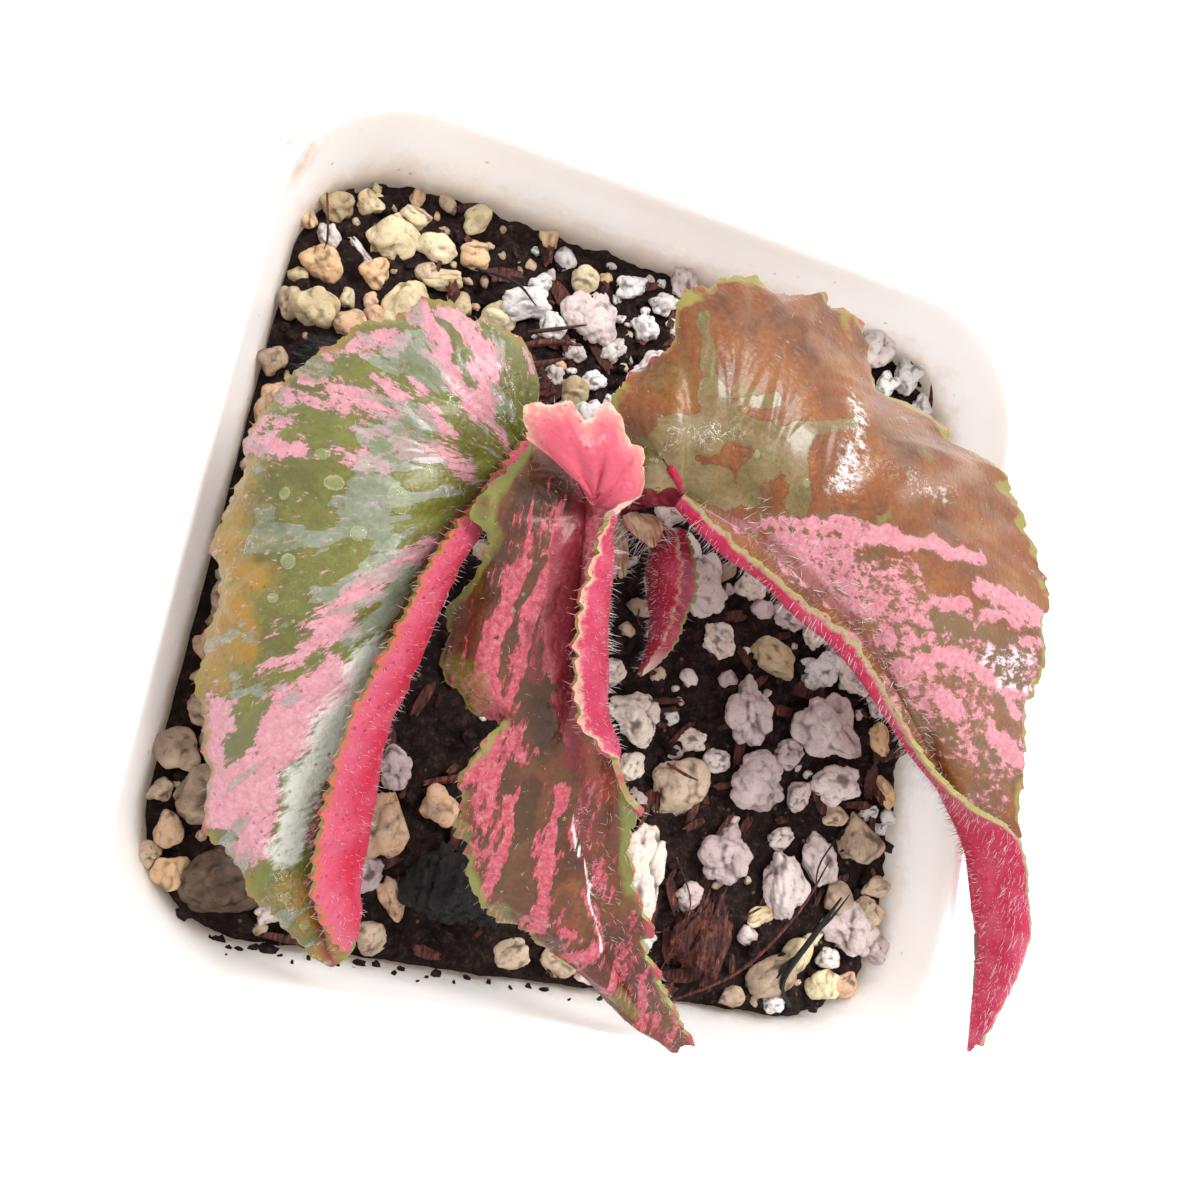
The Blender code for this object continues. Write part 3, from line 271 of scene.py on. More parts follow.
# Stones and chunks of the part's source: place, length, width and height, and turn in degrees
STONES = {
    "pebble_cream": [
        (-34, 25.5, 4, 3.5, 3.5, 0), (-33.5, 20.5, 4.5, 4, 4, 40), (-28.5, 30, 6, 4.5, 4, 20),
        (-25.5, 23.5, 5, 5.5, 4, 0), (19.5, -1.5, 5.5, 4, 4, -25),
    ],
    "pebble_beige": [
        (-34, 10.5, 5.5, 5.5, 4, 10), (-34, -2, 4.5, 4.5, 4, 0), (-33.5, -8.5, 4.5, 4, 4, 0),
        (-33.5, -17.5, 4.5, 4, 3.5, 30), (-31.5, -25, 6.5, 5, 4.5, 20), (-16.5, -25, 4.5, 7, 4.5, -10),
        (-7, -20.5, 4.5, 5, 4, 0), (11.5, -16.5, 5.5, 5.5, 4.5, 10), (32.5, -18, 5, 5, 4, 0),
        (2.5, -34, 4, 4, 3.5, 0),
    ],
    "pumice_lilac": [
        (5.5, -10.5, 5.5, 5, 4.5, 0), (17.5, -7.5, 5, 6.5, 4.5, 15), (10, 4, 5, 6.5, 4.5, 0),
        (26.5, -7, 8.5, 6.5, 5.5, -35), (20, -14.5, 6, 6, 4.5, 0), (8.5, -25.5, 6, 10, 5, 0),
        (17.5, -22, 5.5, 5.5, 4, 0), (24.5, -24, 5, 6, 4.5, 20), (33, -27.5, 6, 5.5, 4.5, 0),
        (-7, 29, 6, 5.5, 4, 0), (0.5, 24.5, 5.5, 4.5, 4, 20),
    ],
    "stone_brown": [(-28.5, -32, 8.5, 6.5, 5.5, 15)],
    "charcoal": [(-8, -29.5, 11, 9.5, 6, 10), (-31, 15.5, 6.5, 5.5, 4, 0)],
    "bark": [(16.5, -31, 5.5, 9.5, 5.5, -12), (-12, 20, 7, 4, 3.5, 30)],
}
STONE_RISE = 0.22

# Smaller grains that fill the surface: place, length, width and turn
GRAINS = {
    "pebble_cream": [
        (-36.5, 29.5, 2, 2.5, 30), (-34, 31.5, 3.5, 3, -5), (-24, 30.5, 4, 3, 10), (-22.5, 27.5, 4, 2.2, 20),
        (-16.5, 25.5, 3.5, 3, 30), (-8.5, 32.5, 3, 3, 30), (33.5, -7.5, 2.5, 4, 30), (16.5, -21.5, 3.5, 2, 30),
        (22.5, -27.5, 3, 2, 30), (35, -12.5, 2, 3.5, 30), (-20, 31, 3, 3.5, 40), (-29, 26, 3, 3, 10),
        (-34.5, 6, 3, 3, 30), (30.5, -33, 4, 3, 10), (27, -30.5, 3.5, 3, 60), (-26.5, 33, 3, 2.6, 0),
        (33, 12, 4, 3.2, 20), (30, 20, 3.6, 3, 70), (-31, 33, 3, 2.4, 30),
    ],
    "pebble_beige": [
        (-34.5, 2, 3.2, 3.4, 30), (-35, -13, 2.8, 3.5, 30), (-32, -21, 3, 3.5, 30), (-36, -25.5, 2.4, 2, 30),
        (-34.5, -28.5, 2.6, 3, 30), (-12, -22.5, 3.5, 4, 30), (-14.5, -31.5, 2.4, 4, 30),
        (-15.5, -35, 2.5, 3, 30), (-27.5, -27, 3, 3, 0), (31, -24.5, 3, 4.5, 30), (35.5, -22.5, 3.5, 2.2, 30),
        (35, -25, 3.4, 3, 30), (24.5, -33, 5, 3.5, 30), (29.5, -16, 3, 2.5, 30), (-30, 20, 3, 3.4, 30),
        (-36, 14.5, 2.6, 3, 0), (-36, 20.5, 2.6, 3, 0), (-30.5, -14, 3, 3, 10), (-30, 5, 3.6, 3, 50),
        (-29.5, -4.5, 3, 3.4, 20), (-22, -34.5, 3, 2.6, 0), (-35.5, -31, 2, 2.4, 30), (-2.5, -34.5, 3, 2.6, 20),
        (33, -33, 3.5, 2.6, 50), (20.5, -35.5, 2.6, 2.2, 30), (-28, 21.5, 2.6, 2.4, 0),
        (-24, 27.8, 2.6, 2.2, 0), (14, 33, 3.6, 3, 20), (22, 32, 4, 3.2, 60), (-1, 17, 3, 2.6, 20),
        (-19, 21.5, 3.2, 2.8, 20),
    ],
    "pumice_lilac": [
        (13, -1, 3, 3.6, 10), (22.8, -10.8, 3.2, 3, 30), (29, -12.8, 5.6, 3.6, 30), (6, -15.5, 3, 2.6, 30),
        (16, 5.5, 3.5, 3.2, 30), (29.5, -1, 4, 4.6, 30), (23.5, -19.5, 2.8, 2.2, 30), (28.5, -21, 3.4, 5.6, 40),
        (37, -29, 2.4, 4, 30), (31, -30.5, 2.6, 2.4, 30), (15, -13, 2.6, 2.4, 30), (-16.5, -20, 2.8, 4, 30),
        (-24.5, -34, 2.6, 2, 30), (-8, -24.2, 2.6, 2.6, 30), (14.5, -26.5, 2.8, 3, 0), (21, 3.5, 3.6, 3, 20),
        (25, -14.8, 3, 2.6, 60), (12, -11.5, 2.6, 2.4, 0), (2.5, -6.5, 2.4, 2.6, 0), (33, -3, 3, 3.4, 0),
        (27.5, 4, 4, 3.4, 30), (20, 12, 4.4, 3.6, 20), (10, 16, 4, 4.4, 60), (33, 27, 4, 3.6, 10),
        (5, 11, 3.6, 3, 10), (26, 25.5, 4, 3.4, 80), (1.5, -29.5, 2.8, 2.6, 0), (-3, -23, 2.6, 2.4, 0),
    ],
    "perlite": [
        (-3.5, 33.5, 3.6, 2.4, 30), (0.5, 33, 3.6, 2.6, 20), (-4, 26, 3, 2.2, 60), (-1, 29.5, 3, 2.6, 30),
        (-5.5, 22, 2.6, 2.2, 30), (-11, 26.5, 2.6, 3.2, 30), (3.5, 28.5, 2.8, 2.4, 30),
        (-34, 28.5, 1.8, 2.6, 30), (-30.5, 27.8, 1, 3.6, 50), (33.5, -15, 2.2, 1.5, 30),
        (35, -16.5, 1.8, 1.4, 30), (10.5, -31.5, 2.4, 2.6, 30), (25.5, -35.5, 2.4, 1.8, 30),
        (-9.5, 21.5, 2.2, 2, 0), (4, 20.5, 2.6, 2.2, 40), (-8, 24.5, 2.2, 2, 10), (-3, 20.5, 2, 2.4, 10),
        (5.5, 32.5, 2.6, 2, 0), (-13, 30.5, 2.4, 2, 40), (8, 24, 2.4, 2, 0),
    ],
}

# Brush strokes that lay out the leaf colours, seen from above: start x, y, end x, y, radius, strength
# Sheen and glint strokes lay painted highlights; the film's grey and the right leaf's haze are a painted sky
# reflection
STROKES = {
    "leaf_left": {
        "pink": [
            (-25.5, 16, -22, 11, 1.2, 1.2), (-22, 11, -19.5, 9.5, 1, 1.1), (-23, 16, -20, 14, 1.3, 1.2),
            (-20, 14, -19, 9.5, 1.3, 1.15), (-18, 9, -16, 7.5, 0.6, 0.85), (-17, 15.5, -15.5, 14.5, 0.6, 0.75),
            (-34, 7, -29.5, 6.5, 0.7, 0.95), (-33, 8.5, -31.5, 8.5, 0.5, 0.85), (-30, 7.5, -26, 6.5, 0.9, 0.82),
            (-28, 9, -25.5, 8, 0.7, 0.78), (-29.5, 12, -27.5, 13, 1, 0.88), (-31.5, 10.5, -29, 11.5, 0.7, 0.7),
            (-27.5, 13.5, -26.5, 12, 0.7, 0.8), (-28, 5, -26, 5, 0.5, 0.85), (-23.5, 7.5, -21, 6.5, 0.6, 0.85),
            (-25, 9.5, -24, 8.5, 0.5, 0.8), (-29, 3, -27, 2, 0.5, 0.95), (-27, 3, -25, 2.5, 0.5, 0.9),
            (-24.5, 4.5, -19.5, 4.5, 1, 0.68), (-35.5, 2.5, -31.5, 2.5, 0.8, 1.15),
            (-35.5, 4, -34.5, 3.5, 0.5, 0.9), (-35, 5, -33, 5, 0.6, 0.72), (-31, 2, -30, 2, 0.4, 0.7),
            (-20.5, -2, -24.5, -6.5, 0.8, 1), (-24.5, -6.5, -26.5, -9.5, 1, 1),
            (-25.5, -9.5, -27.5, -11.5, 1, 1), (-27.5, -11.5, -30, -14, 0.7, 1),
            (-25, -13.5, -27.5, -17.5, 1.8, 1.25), (-27.5, -17.5, -29, -24, 2.4, 1.3),
            (-29, -24, -28.5, -27.5, 1.9, 1.3), (-32.5, -18.5, -31, -26, 1.4, 1.3),
            (-33.5, -17, -32, -17.5, 0.7, 0.8), (-23.5, -24, -24, -26, 0.6, 0.6),
        ],
        "olive": [
            (-23.5, 15, -21.5, 12, 0.5, 1), (-21.5, 12, -20, 11, 0.4, 1), (-18, 16, -17, 14, 0.6, 0.8),
            (-16.5, 9.5, -15, 12, 1, 0.7), (-31, -20, -30, -17.5, 0.8, 1.1),
            (-27, -22, -26.5, -20.5, 0.7, 0.75), (-31, -27, -29.5, -27.5, 0.7, 1.2),
            (-26, -21.5, -26, -24, 0.5, 0.9),
        ],
        "film": [
            (-25.5, 12.5, -23.5, 9.5, 1.4, 0.9), (-18, 11, -16.5, 10.5, 0.7, 0.8),
            (-21, 2.5, -20.5, 2.5, 0.7, 0.7), (-25.5, -1.5, -23.5, -3.5, 1.2, 1.1),
            (-28, -1.5, -27, -2, 0.8, 0.6), (-31, -4, -28.5, -4.5, 1.2, 0.6), (-24.5, -4, -25.5, -6, 0.9, 0.9),
            (-22, -7.5, -23, -10, 0.8, 0.9), (-33, -3, -32.5, -6, 0.9, 0.6), (-25.5, 6.5, -24, 7, 1.1, 0.55),
            (-27, -8.5, -26, -6.5, 0.8, 0.7), (-23, -8, -25, -11, 0.9, 1), (-30, 1, -26, -1.5, 1.5, 0.5),
            (-27, 5, -23, -6, 3.4, 0.5),
        ],
        "sheen": [
            (-23, -11.5, -24.4, -17.5, 1.9, 1), (-24.4, -17.5, -25.2, -22.5, 2.2, 0.95),
            (-25, -22.5, -25.6, -27.5, 1.6, 0.9), (-23.5, -11, -24.5, -13, 0.6, 0.9),
            (-26, -29, -24.5, -27.5, 0.4, 0.6),
        ],
        "glint": [
            (-23.8, -11.5, -23, -14, 1.3, 1), (-22.5, 9, -20.5, 10.5, 1.6, 1), (-18, 13, -16.8, 10, 1.2, 1),
            (-23, 1.5, -20, 3, 1.2, 0.8), (-25.5, -29, -23.5, -31, 1.2, 1), (-33.5, -5, -33.5, -8, 0.8, 0.8),
        ],
        "amber": [
            (-36, -4.5, -33, -5, 1.2, 0.8), (-33.5, -7.5, -32, -8, 1.3, 1.1), (-34, -9.5, -32, -12, 1.4, 1.1),
            (-36.8, 2.5, -34, -15, 2.4, 0.95), (-35.5, -1.5, -34, -2.5, 1.2, 0.5),
            (-34, -10.5, -32, -13, 1.4, 1), (-24.5, -30, -22, -32.5, 1.1, 0.9),
            (-20.5, -35.5, -19.5, -34, 1.1, 0.9), (-34.5, -15, -33.5, -16, 0.8, 0.4),
        ],
    },
    "leaf_right": {
        "pink": [
            (3.5, 5.5, 10, 7, 0.6, 1.2), (10, 7, 18, 8, 0.9, 1.2), (18, 8, 29.5, 9.5, 0.8, 1.15),
            (7, 4.5, 13.5, 5.5, 1.2, 0.85), (8, 3.5, 12, 2.5, 0.8, 0.7), (10.5, 3.5, 15.5, 3.5, 1.3, 0.8),
            (13.5, 1.5, 19, 2, 0.8, 0.85), (13.5, 5.5, 22, 5.5, 1.2, 0.35), (24.5, 4, 28, 4.5, 0.8, 0.95),
            (29.5, 6.5, 39.5, 7, 1, 1.1), (30.5, 4.5, 39.5, 6, 0.6, 0.85), (35.5, 3, 40, 4, 0.5, 1.2),
            (15.5, -1, 21, -0.5, 0.8, 0.95), (24.5, -1, 30, 0.5, 1, 0.95), (22, -2, 24.5, -2, 0.8, 0.8),
            (30.5, 0, 38.5, -1.5, 0.9, 0.9), (27.5, -3.5, 30.5, -5, 0.9, 0.92),
            (35.5, -5.5, 40.5, -7.5, 1.1, 1.2), (37.5, -2.5, 39.5, -3.5, 0.7, 1),
            (39.5, -11.5, 39.5, -11.5, 0.4, 1), (38, 12, 39, 10, 0.6, 0.75), (24.5, 1, 26.5, 1, 0.6, 0.7),
            (21.5, 1.5, 29.5, 2.5, 1.2, 0.35), (25, -3, 35.5, -4, 1.8, 0.35), (28, 3.5, 31, 3, 0.6, 0.6),
            (9, 4.8, 24, 2.5, 3, 0.5), (22, 1, 39, 0, 4.5, 0.5), (24, -4, 39, -8, 4, 0.45),
            (36, -12, 41, -18, 3, 0.4),
        ],
        "film": [
            (-3.5, 21, -2, 14.5, 0.6, 1.1), (-2, 14.5, -0.5, 13.5, 1.2, 1.1), (-5, 9.5, 0, 12.5, 1.7, 1.1),
            (0, 12.5, 6, 13, 1.5, 1), (6, 13, 7.5, 8.5, 1.2, 1), (-5, 7.5, 1, 8, 1.5, 1.1),
            (4.5, 11, 3, 8, 1.3, 1), (7, 14, 11.5, 16.5, 0.6, 0.9), (-1, 14, 4, 16, 0.5, 0.9),
            (-6.5, 9.5, -5.5, 6.5, 0.9, 1), (-2, 6, 2, 6.5, 0.7, 0.8),
        ],
        "veil": [
            (7.5, 23, 13, 21.5, 1.5, 0.8), (4, 25, 7.5, 26.5, 1.3, 0.6), (14, 18.5, 21.5, 18.5, 2.1, 0.9),
            (18, 12, 28.5, 18.5, 1.4, 1.1), (22, 9.5, 34, 14, 1.4, 0.7), (-1.5, 21.5, 1.5, 23, 1.4, 0.4),
            (11.5, 18, 12, 17.5, 0.9, 0.9), (24, 18, 27.5, 18.5, 0.9, 0.6), (15.5, 15.5, 19, 14.5, 1.4, 0.7),
            (-8, 10.5, -7, 10, 0.9, 0.6), (3.5, 15.5, 6.5, 17, 0.6, 0.5),
        ],
        "olive": [
            (-4, 10.5, -1, 10, 0.5, 1), (0.5, 10, 2, 10.5, 0.4, 1), (8, 12.5, 9.5, 12, 0.8, 1.1),
            (9, 10, 10.5, 10, 0.4, 0.9), (11, 9.5, 16.5, 12.5, 2, 1), (6, 14, 11.5, 18, 0.5, 1),
            (4.5, 7, 7, 8, 0.9, 0.8), (1, 7.5, 2, 7, 0.4, 0.7), (25, 2.5, 28.5, 2.5, 0.8, 1),
            (30.5, 2.5, 36.5, 3.5, 0.5, 0.9),
        ],
        "sheen": [
            (12.5, 18.5, 12, 13.5, 1.3, 0.5), (12, 14, 11.5, 11, 1.5, 0.72), (33, 1, 38.5, 2, 1.1, 0.6),
            (36, -0.5, 39.5, 0, 0.9, 0.6), (18, 12.5, 24, 14, 1.2, 0.3),
        ],
        "glint": [
            (12.5, 19, 11.5, 11, 1.8, 1), (33, 1.2, 39.5, 1.5, 1.4, 1), (-4.5, 10, 1, 12.5, 1.6, 0.8),
            (14, 13, 22, 14, 1.6, 0.7),
        ],
        "amber": [
            (0, 15.5, 1.5, 15.5, 0.6, 1), (15.5, 9, 16.5, 9.5, 0.5, 1.2), (20, 16.5, 21.5, 16.5, 0.6, 0.8),
            (-6, 14.5, -4.5, 15.5, 1.4, 0.5),
        ],
    },
    "leaf_middle": {
        "pink": [
            (-14, -3, -14.5, -8, 0.8, 1.15), (-14.5, -8, -14.5, -11.5, 0.8, 1.2),
            (-14.5, -11.5, -13, -13.5, 0.8, 1.2), (-11.5, -1, -12.5, -5.5, 0.8, 0.95),
            (-12.5, -5.5, -12.5, -10, 0.8, 0.95), (-10, 0, -10.5, -5, 0.9, 0.85),
            (-10.5, -5, -10, -10, 1.1, 0.85), (-9, -6.5, -7.5, -13.5, 0.5, 0.75),
            (-10.5, -9.5, -9, -12, 0.9, 0.7), (-12.5, -12, -10.5, -14, 0.7, 0.8), (-8, -13.5, -7, -15, 0.5, 1),
            (-9.5, -16, -9, -16.5, 0.4, 1), (-11, -16, -10.5, -17, 0.4, 0.9), (-13, -16.5, -12, -20, 0.8, 0.95),
            (-14, -17, -13.5, -19, 0.5, 0.85), (-10, -19.5, -9.5, -23.5, 0.5, 1.2),
            (-9.5, -23.5, -9.5, -27.5, 0.6, 1.2), (-6.5, -18.5, -6, -22, 0.6, 1.1),
            (-6, -22, -5.5, -25.5, 1, 1.2), (-5.5, -25.5, -4.5, -30, 0.7, 1.2),
            (-7.5, -22.5, -7, -24, 0.5, 0.8), (-5, -23, -5, -24, 0.5, 0.8), (-0.5, -27.5, 1, -30.5, 0.5, 1.2),
            (-0.5, -32, 0.5, -31, 0.7, 1.1), (-2.5, -30, -2, -30, 0.5, 1), (3, -32, 3, -34, 0.6, 0.9),
            (5, -32.5, 6.5, -35, 0.4, 0.9), (-9.5, -14, -9.5, -13.5, 0.5, 0.9),
            (-11, -14.5, -11.5, -16.5, 0.6, 0.8), (-4, -22.5, -4.5, -21, 0.3, 0.8),
            (-3.5, -27, -2.5, -28.5, 0.8, 0.5), (-12, -20.5, -11, -21, 0.6, 0.55),
            (-12, -23, -10.5, -25, 0.8, 0.45), (-2, -26.5, -0.5, -27.5, 0.3, 0.8),
            (-12.5, -1, -10.5, -12, 3.4, 0.42), (-12.5, -17, -7, -28, 3.4, 0.36),
            (-9.5, 1.5, -8.5, -9, 1.4, 0.5), (-4, -19, 3, -31, 1.6, 0.34), (2, -31, 9, -37, 2, 0.36),
        ],
        "olive": [
            (-12.5, -2, -13.5, -5.5, 0.3, 1.1), (-14.5, -8.5, -14, -9, 0.2, 1.1),
            (-13, -8, -13.5, -11, 0.2, 1.1), (-11.5, -10.5, -12, -12.5, 0.4, 1.1), (-11, -4, -11, -6, 0.3, 1),
            (-9.5, -2.5, -8.5, -10, 0.2, 0.9), (-10.5, -13, -8.5, -15.5, 1.2, 1.1),
            (-10.5, -13, -8.5, -15, 1.1, 1.1), (-11, -17.5, -10.5, -19.5, 0.4, 1.1),
            (-9, -18, -8, -24.5, 0.9, 1.1), (-5.5, -21, -5, -23, 0.5, 0.9), (-8, -25.5, -7, -28, 1.3, 1),
            (-4, -25.5, -1.5, -29, 1, 0.6), (-8.5, -17, -7, -17, 1, 0.9), (-3.5, -21, -2.5, -24.5, 0.3, 0.6),
        ],
        "crimson": [
            (-10.5, 3, -11, -0.5, 1.3, 0.9), (-11, -0.5, -10.5, -5, 1.7, 1), (-10.5, -5, -8, -12.5, 1.5, 1),
            (-10, -1.5, -7.5, -11.5, 0.9, 1), (-7.5, -12, -6, -16.5, 1, 0.9), (-12, -7.5, -11, -10.5, 1.1, 0.7),
        ],
        "amber": [
            (-5.5, -15, -3, -18.5, 0.9, 1), (-3.5, -18.5, -2, -22, 0.8, 0.6), (-3.5, -21, 2, -28.5, 1.1, 0.35),
            (-5.5, -14.5, -4.5, -16, 0.4, 0.8), (-12.5, -20.5, -11, -22, 1, 0.5),
            (-3.5, -26.5, -2, -29.5, 0.8, 0.6),
        ],
        "sheen": [
            (-5, -20.5, -2.5, -24.5, 0.2, 0.9), (-2.5, -24.5, 0, -28.5, 0.2, 1), (0, -29, 1, -31, 0.2, 0.9),
        ],
        "glint": [(-4, -20, 1, -30, 1, 0.9), (-9, -8, -7, -14, 0.8, 0.7)],
        "film": [
            (-15, -12, -14, -13.5, 0.9, 1.2), (-16.5, -10.5, -15.5, -11, 0.7, 0.9),
            (-18, 0.5, -17.5, 0.5, 0.6, 1), (-8, -29, -7.5, -29, 0.7, 1.1), (-13, -23, -12.5, -23.5, 0.6, 1.1),
            (4, -34.5, 6, -36, 0.8, 1), (-11, -26.5, -11, -27, 0.5, 1),
        ],
        "shade": [
            (-11.5, 2, -14, 2.5, 1.7, 1), (-14, 2.5, -15, 0.5, 1.5, 0.7), (-15.5, -1.5, -15.5, -5.5, 1.1, 0.5),
            (-9, -19, -8.5, -22.5, 1, 0.7), (-10.5, -13, -9, -15, 1.1, 0.6),
        ],
    },
}

# How far the margin stands out from a blade's plain outline every 0.9 mm along it, in tenths of a millimetre
MARGIN_STEP = 0.9
MARGINS = {
    ("leaf_left", "broad"): [
        -5, 6, 8, 5, 0, -3, -3, -4, -11, -12, -2, -2, -2, -2, -9, -10, -11, -7, 1, 2, -1, -2, -2, 1, -1, 0, 0,
        -1, -3, -5, -4, -3, -3, -1, -9, -12, -12, -9, -7, -6, -4, -1, 1, 0, -8, -12, -12, -12, -12, -10, -4, -4,
        -4, 1, 6, 7, 2, 0, 1, 2, 2, 1, -7, -6, -4, -2, 2, 5, 5, -3, -1, 0, 0, 6, 6, 2, -7, -11, -10, -8, -4, 0,
        4, 6,
    ],
    ("leaf_right", "broad"): [
        -1, -1, 6, 5, 6, 6, 6, 4, 3, 0, -2, -1, -2, -1, -2, -3, -4, -12, -12, -12, 9, 7, 3, 1, -3, -8, -6, -3,
        -3, -4, -1, -1, -7, -12, -12, -10, -5, 0, 15, 5, 4, 14, 18, 19, 10, 8, 0, -7, -8, -8, -12, -7, 16, 17,
        19, 19, 19, 19, 15, 4, -3, -9, 19, 19, 19, 19, 19, 19, 14, 9, 9, 9, 12, 10, 2, 10, 14, 11, 7, 16, 11,
        13, 11, 3, -5, -10, -9, -7, -3, 0, 0, -1, -1, -2, -9, -7, -4, -3, -1, 1, 2, 3, 2, 3, 4, 3, 3, 2, 7, 0,
        0, 0, 0, 0, 0, 0, 0, 0, 0, 0, 0, 0, 0, 0, 0, 0, 0, 0, 0, 0, 0, 0, 0, 0, 0, 0,
    ],
    ("leaf_middle", "broad"): [
        -10, -10, -10, -10, -10, -9, -6, -4, -2, 1, 3, 4, -1, -7, -3, -1, -1, -2, 0, 2, 10, 9, 5, -1, -1, 0, 1,
        5, 1, 7, 14, 10, 1, 8, 5, 2, 5, 6, 4, 3, 2, 3, 2, -4, -8, -4, 3, 4, -4, -1, 3, 8, 9, 8, 9, 4, 3, 1, -12,
        -9, -3, -2, -3, 1, 6, 13, -1, 3, 13, -8, -2, 0, -3, -5, -6, -8, -8, -6, -3, 0,
    ],
    ("leaf_middle", "rolled"): [
        4, 2, -2, 0, 0, -4, 3, 6, 7, 2, 0, 2, 6, 2, -9, -8, -2, -3, -5, -4, -1, -3, -3, -8, -8, -7, -7, -6, -6,
        -6, -5, -5, -4, -4, -3, -3, -3, -2, -2, -1, -1, 0, 2, 3, 2, 0, -3, -8, -9, -12, 15, 9, 5, 4, 3, 0, -12,
        -11, -10, -8, -4, -5, -5, -1, 2, 3, 3, -4, -12, -12, -11, -12, -12, -12, -12, -12, -12, -12, -12, -12,
        -12,
    ],
}

# Places where only the dark mix shows: x, y, reach
BARE_SOIL = [
    (-34, 16, 4), (-17, 31.5, 3.5), (-18, 23.5, 2.5), (-11, 29, 2.5), (-2, -3, 4), (3, -14, 3), (-19, -15, 6),
    (-21, -31, 3), (14, -31, 6), (-8, -30, 8), (12.5, -9.5, 2), (2, -21, 2.5), (22, -32, 2.5),
    (6.5, -31.5, 2.5),
]
# Crumbs stuck to the front wall: place along it, rise above the soil, size
WALL_CRUMBS = [
    (-29, 0.4, 1.2), (-26.5, 1, 0.7), (-24, 0.2, 1.6), (-20.5, 0.8, 0.6), (-16, 0.3, 1.1), (-13, 1.6, 0.5),
    (-9, 0.5, 1), (-6, 0.2, 0.7), (-2, 1.2, 0.5), (1.5, 0.4, 0.9), (7, 0.9, 0.6), (-31, 1.8, 0.4),
    (-28.3, 0.2, 1.3), (-27.4, 1.2, 0.6), (-25.3, 0.2, 1), (-23, 1.2, 0.5), (-19.2, 0.2, 0.9),
    (-14.5, 0.2, 0.8), (-12.2, 0.3, 0.7), (-10, 1.5, 0.4), (-7.5, 1.8, 0.35), (-4, 0.6, 0.6), (0, 0.2, 0.6),
    (-22, 2.4, 0.4), (-11, 2.8, 0.35), (3.5, 2.2, 0.35), (-18, 1.4, 0.45), (12, 0.6, 0.5), (-27.5, 2.9, 0.3),
]
# Grains scattered in the gaps: least and greatest size and how many tries; those below a size are specks
GAP_GRAINS = ((3.2, 5.0, 1500), (1.9, 2.9, 2200), (0.9, 1.6, 2200))
SPECK_SIZE = 2.9
STEM_ROOM = 3.4
CRUMB_COUNT = 620
SHRED_COUNT = 260
SPECKS = {}
# What the rough skin adds to a stone's plain size
STONE_SWELL = {"pebble_cream": 1.1, "pebble_beige": 1.12, "pumice_lilac": 1.2, "perlite": 1.15,
               "bark": 1.35, "charcoal": 1.15}
# How many fine drops sit on a leaf
DROPS = {"leaf_left": 110, "leaf_middle": 40, "leaf_right": 90}
# Larger flat drops: place and size
PUDDLES = {
    "leaf_left": [
        (-23.9, 0.2, 2.4), (-28.6, 0.2, 1.7), (-29.8, 2.3, 1.5), (-26, -3, 1.3), (-30.5, -6, 1.2),
        (-22, 3, 1.1), (-32, -1, 1), (-27, 2.2, 0.9), (-25, -5.5, 1), (-31, -9, 0.9), (-23.5, -12.5, 1.2),
        (-23.7, -14, 0.8), (-21.5, 7, 0.9), (-24.5, -31, 1.1), (-22.5, -33, 0.9),
    ],
    "leaf_right": [(12.5, 15, 0.9), (3, 11, 0.8), (8, 10, 0.9), (36, 0.5, 0.9), (1, 14, 0.6)],
}
# What a leaf's material reads: the brush strokes, and what comes from its shape
PAINTS = ("pink", "olive", "film", "veil", "amber", "sheen", "crimson", "shade", "glint")
SHAPE_MARKS = ("vein", "edge", "midrib", "tooth", "fan", "hem")
# Pitch and length of the hairs along the margins of the broad and the rolled half
MARGIN_HAIRS = ((1.1, 0.75), (0.6, 0.8))
STIPULE_HAIRS = ((0.16, 2), (0.16, 2))
# Hairs that stand on the skin: half, how many, how long, whether on its underside, how thick, which way
# they lean, and the shares of the half, along it and out from the midrib, where they begin and end
SKIN_HAIRS = {
    "leaf_left": [
        ("rolled", 1000, 0.45, True, 0.55), ("broad", 130, 0.45, False),
        ("rolled", 260, 0.6, True, 0.8, (1.2, -0.3, 0.2), (0.02, 0.02), (0.98, 0.7)),
    ],
    "leaf_middle": [
        ("rolled", 1700, 0.45, True, 0.55), ("broad", 130, 0.45, False),
        ("rolled", 420, 1.05, True, 0.8, (1.5, -0.2, 0.2), (0.02, 0.02), (0.98, 0.7)),
        ("rolled", 220, 0.8, False, 0.7, (0.6, 0.1, 0), (0.5, 0.2), (1, 1)), ("broad", 60, 0.6, False),
    ],
    "leaf_right": [
        ("rolled", 1100, 0.45, True, 0.55), ("broad", 130, 0.45, False),
        ("rolled", 520, 1.1, True, 0.8, (-0.9, -1.6, 0), (0.02, 0.5), (0.98, 0.97)),
        ("rolled", 200, 1, False, 0.7, (0.3, 0.6, 0), (0.02, 0), (0.72, 0.9)),
        ("broad", 260, 1, False, 1.5, (0.5, 0.5, -0.2), (0.3, 0), (1, 0.12)),
    ],
    "leaf_young": [
        ("rolled", 260, 0.45, True, 0.55), ("broad", 20, 0.45, False),
        ("rolled", 120, 0.7, True, 0.8, (-0.6, -0.4, 0.6), (0.02, 0.02), (0.98, 0.7)),
    ],
}
# Red bristles on the right leaf's strip, as above
STRIP_BRISTLES = (150, 0.9, True, 1.6, (-1.2, -0.3, 0.1), (0.6, 0), (1, 0.3))

# Light, in metres and watts; and what share of a pigment shows under it
SKY_STRENGTH = 1.42
WINDOW_PLACE = (0.3, 0.4, 0.75)
WINDOW_AIM = (0, 0, 0.07)
WINDOW_SIZE = 0.3
WINDOW_POWER = 5.5
LIGHT_SHARE = "#C9C9C9"

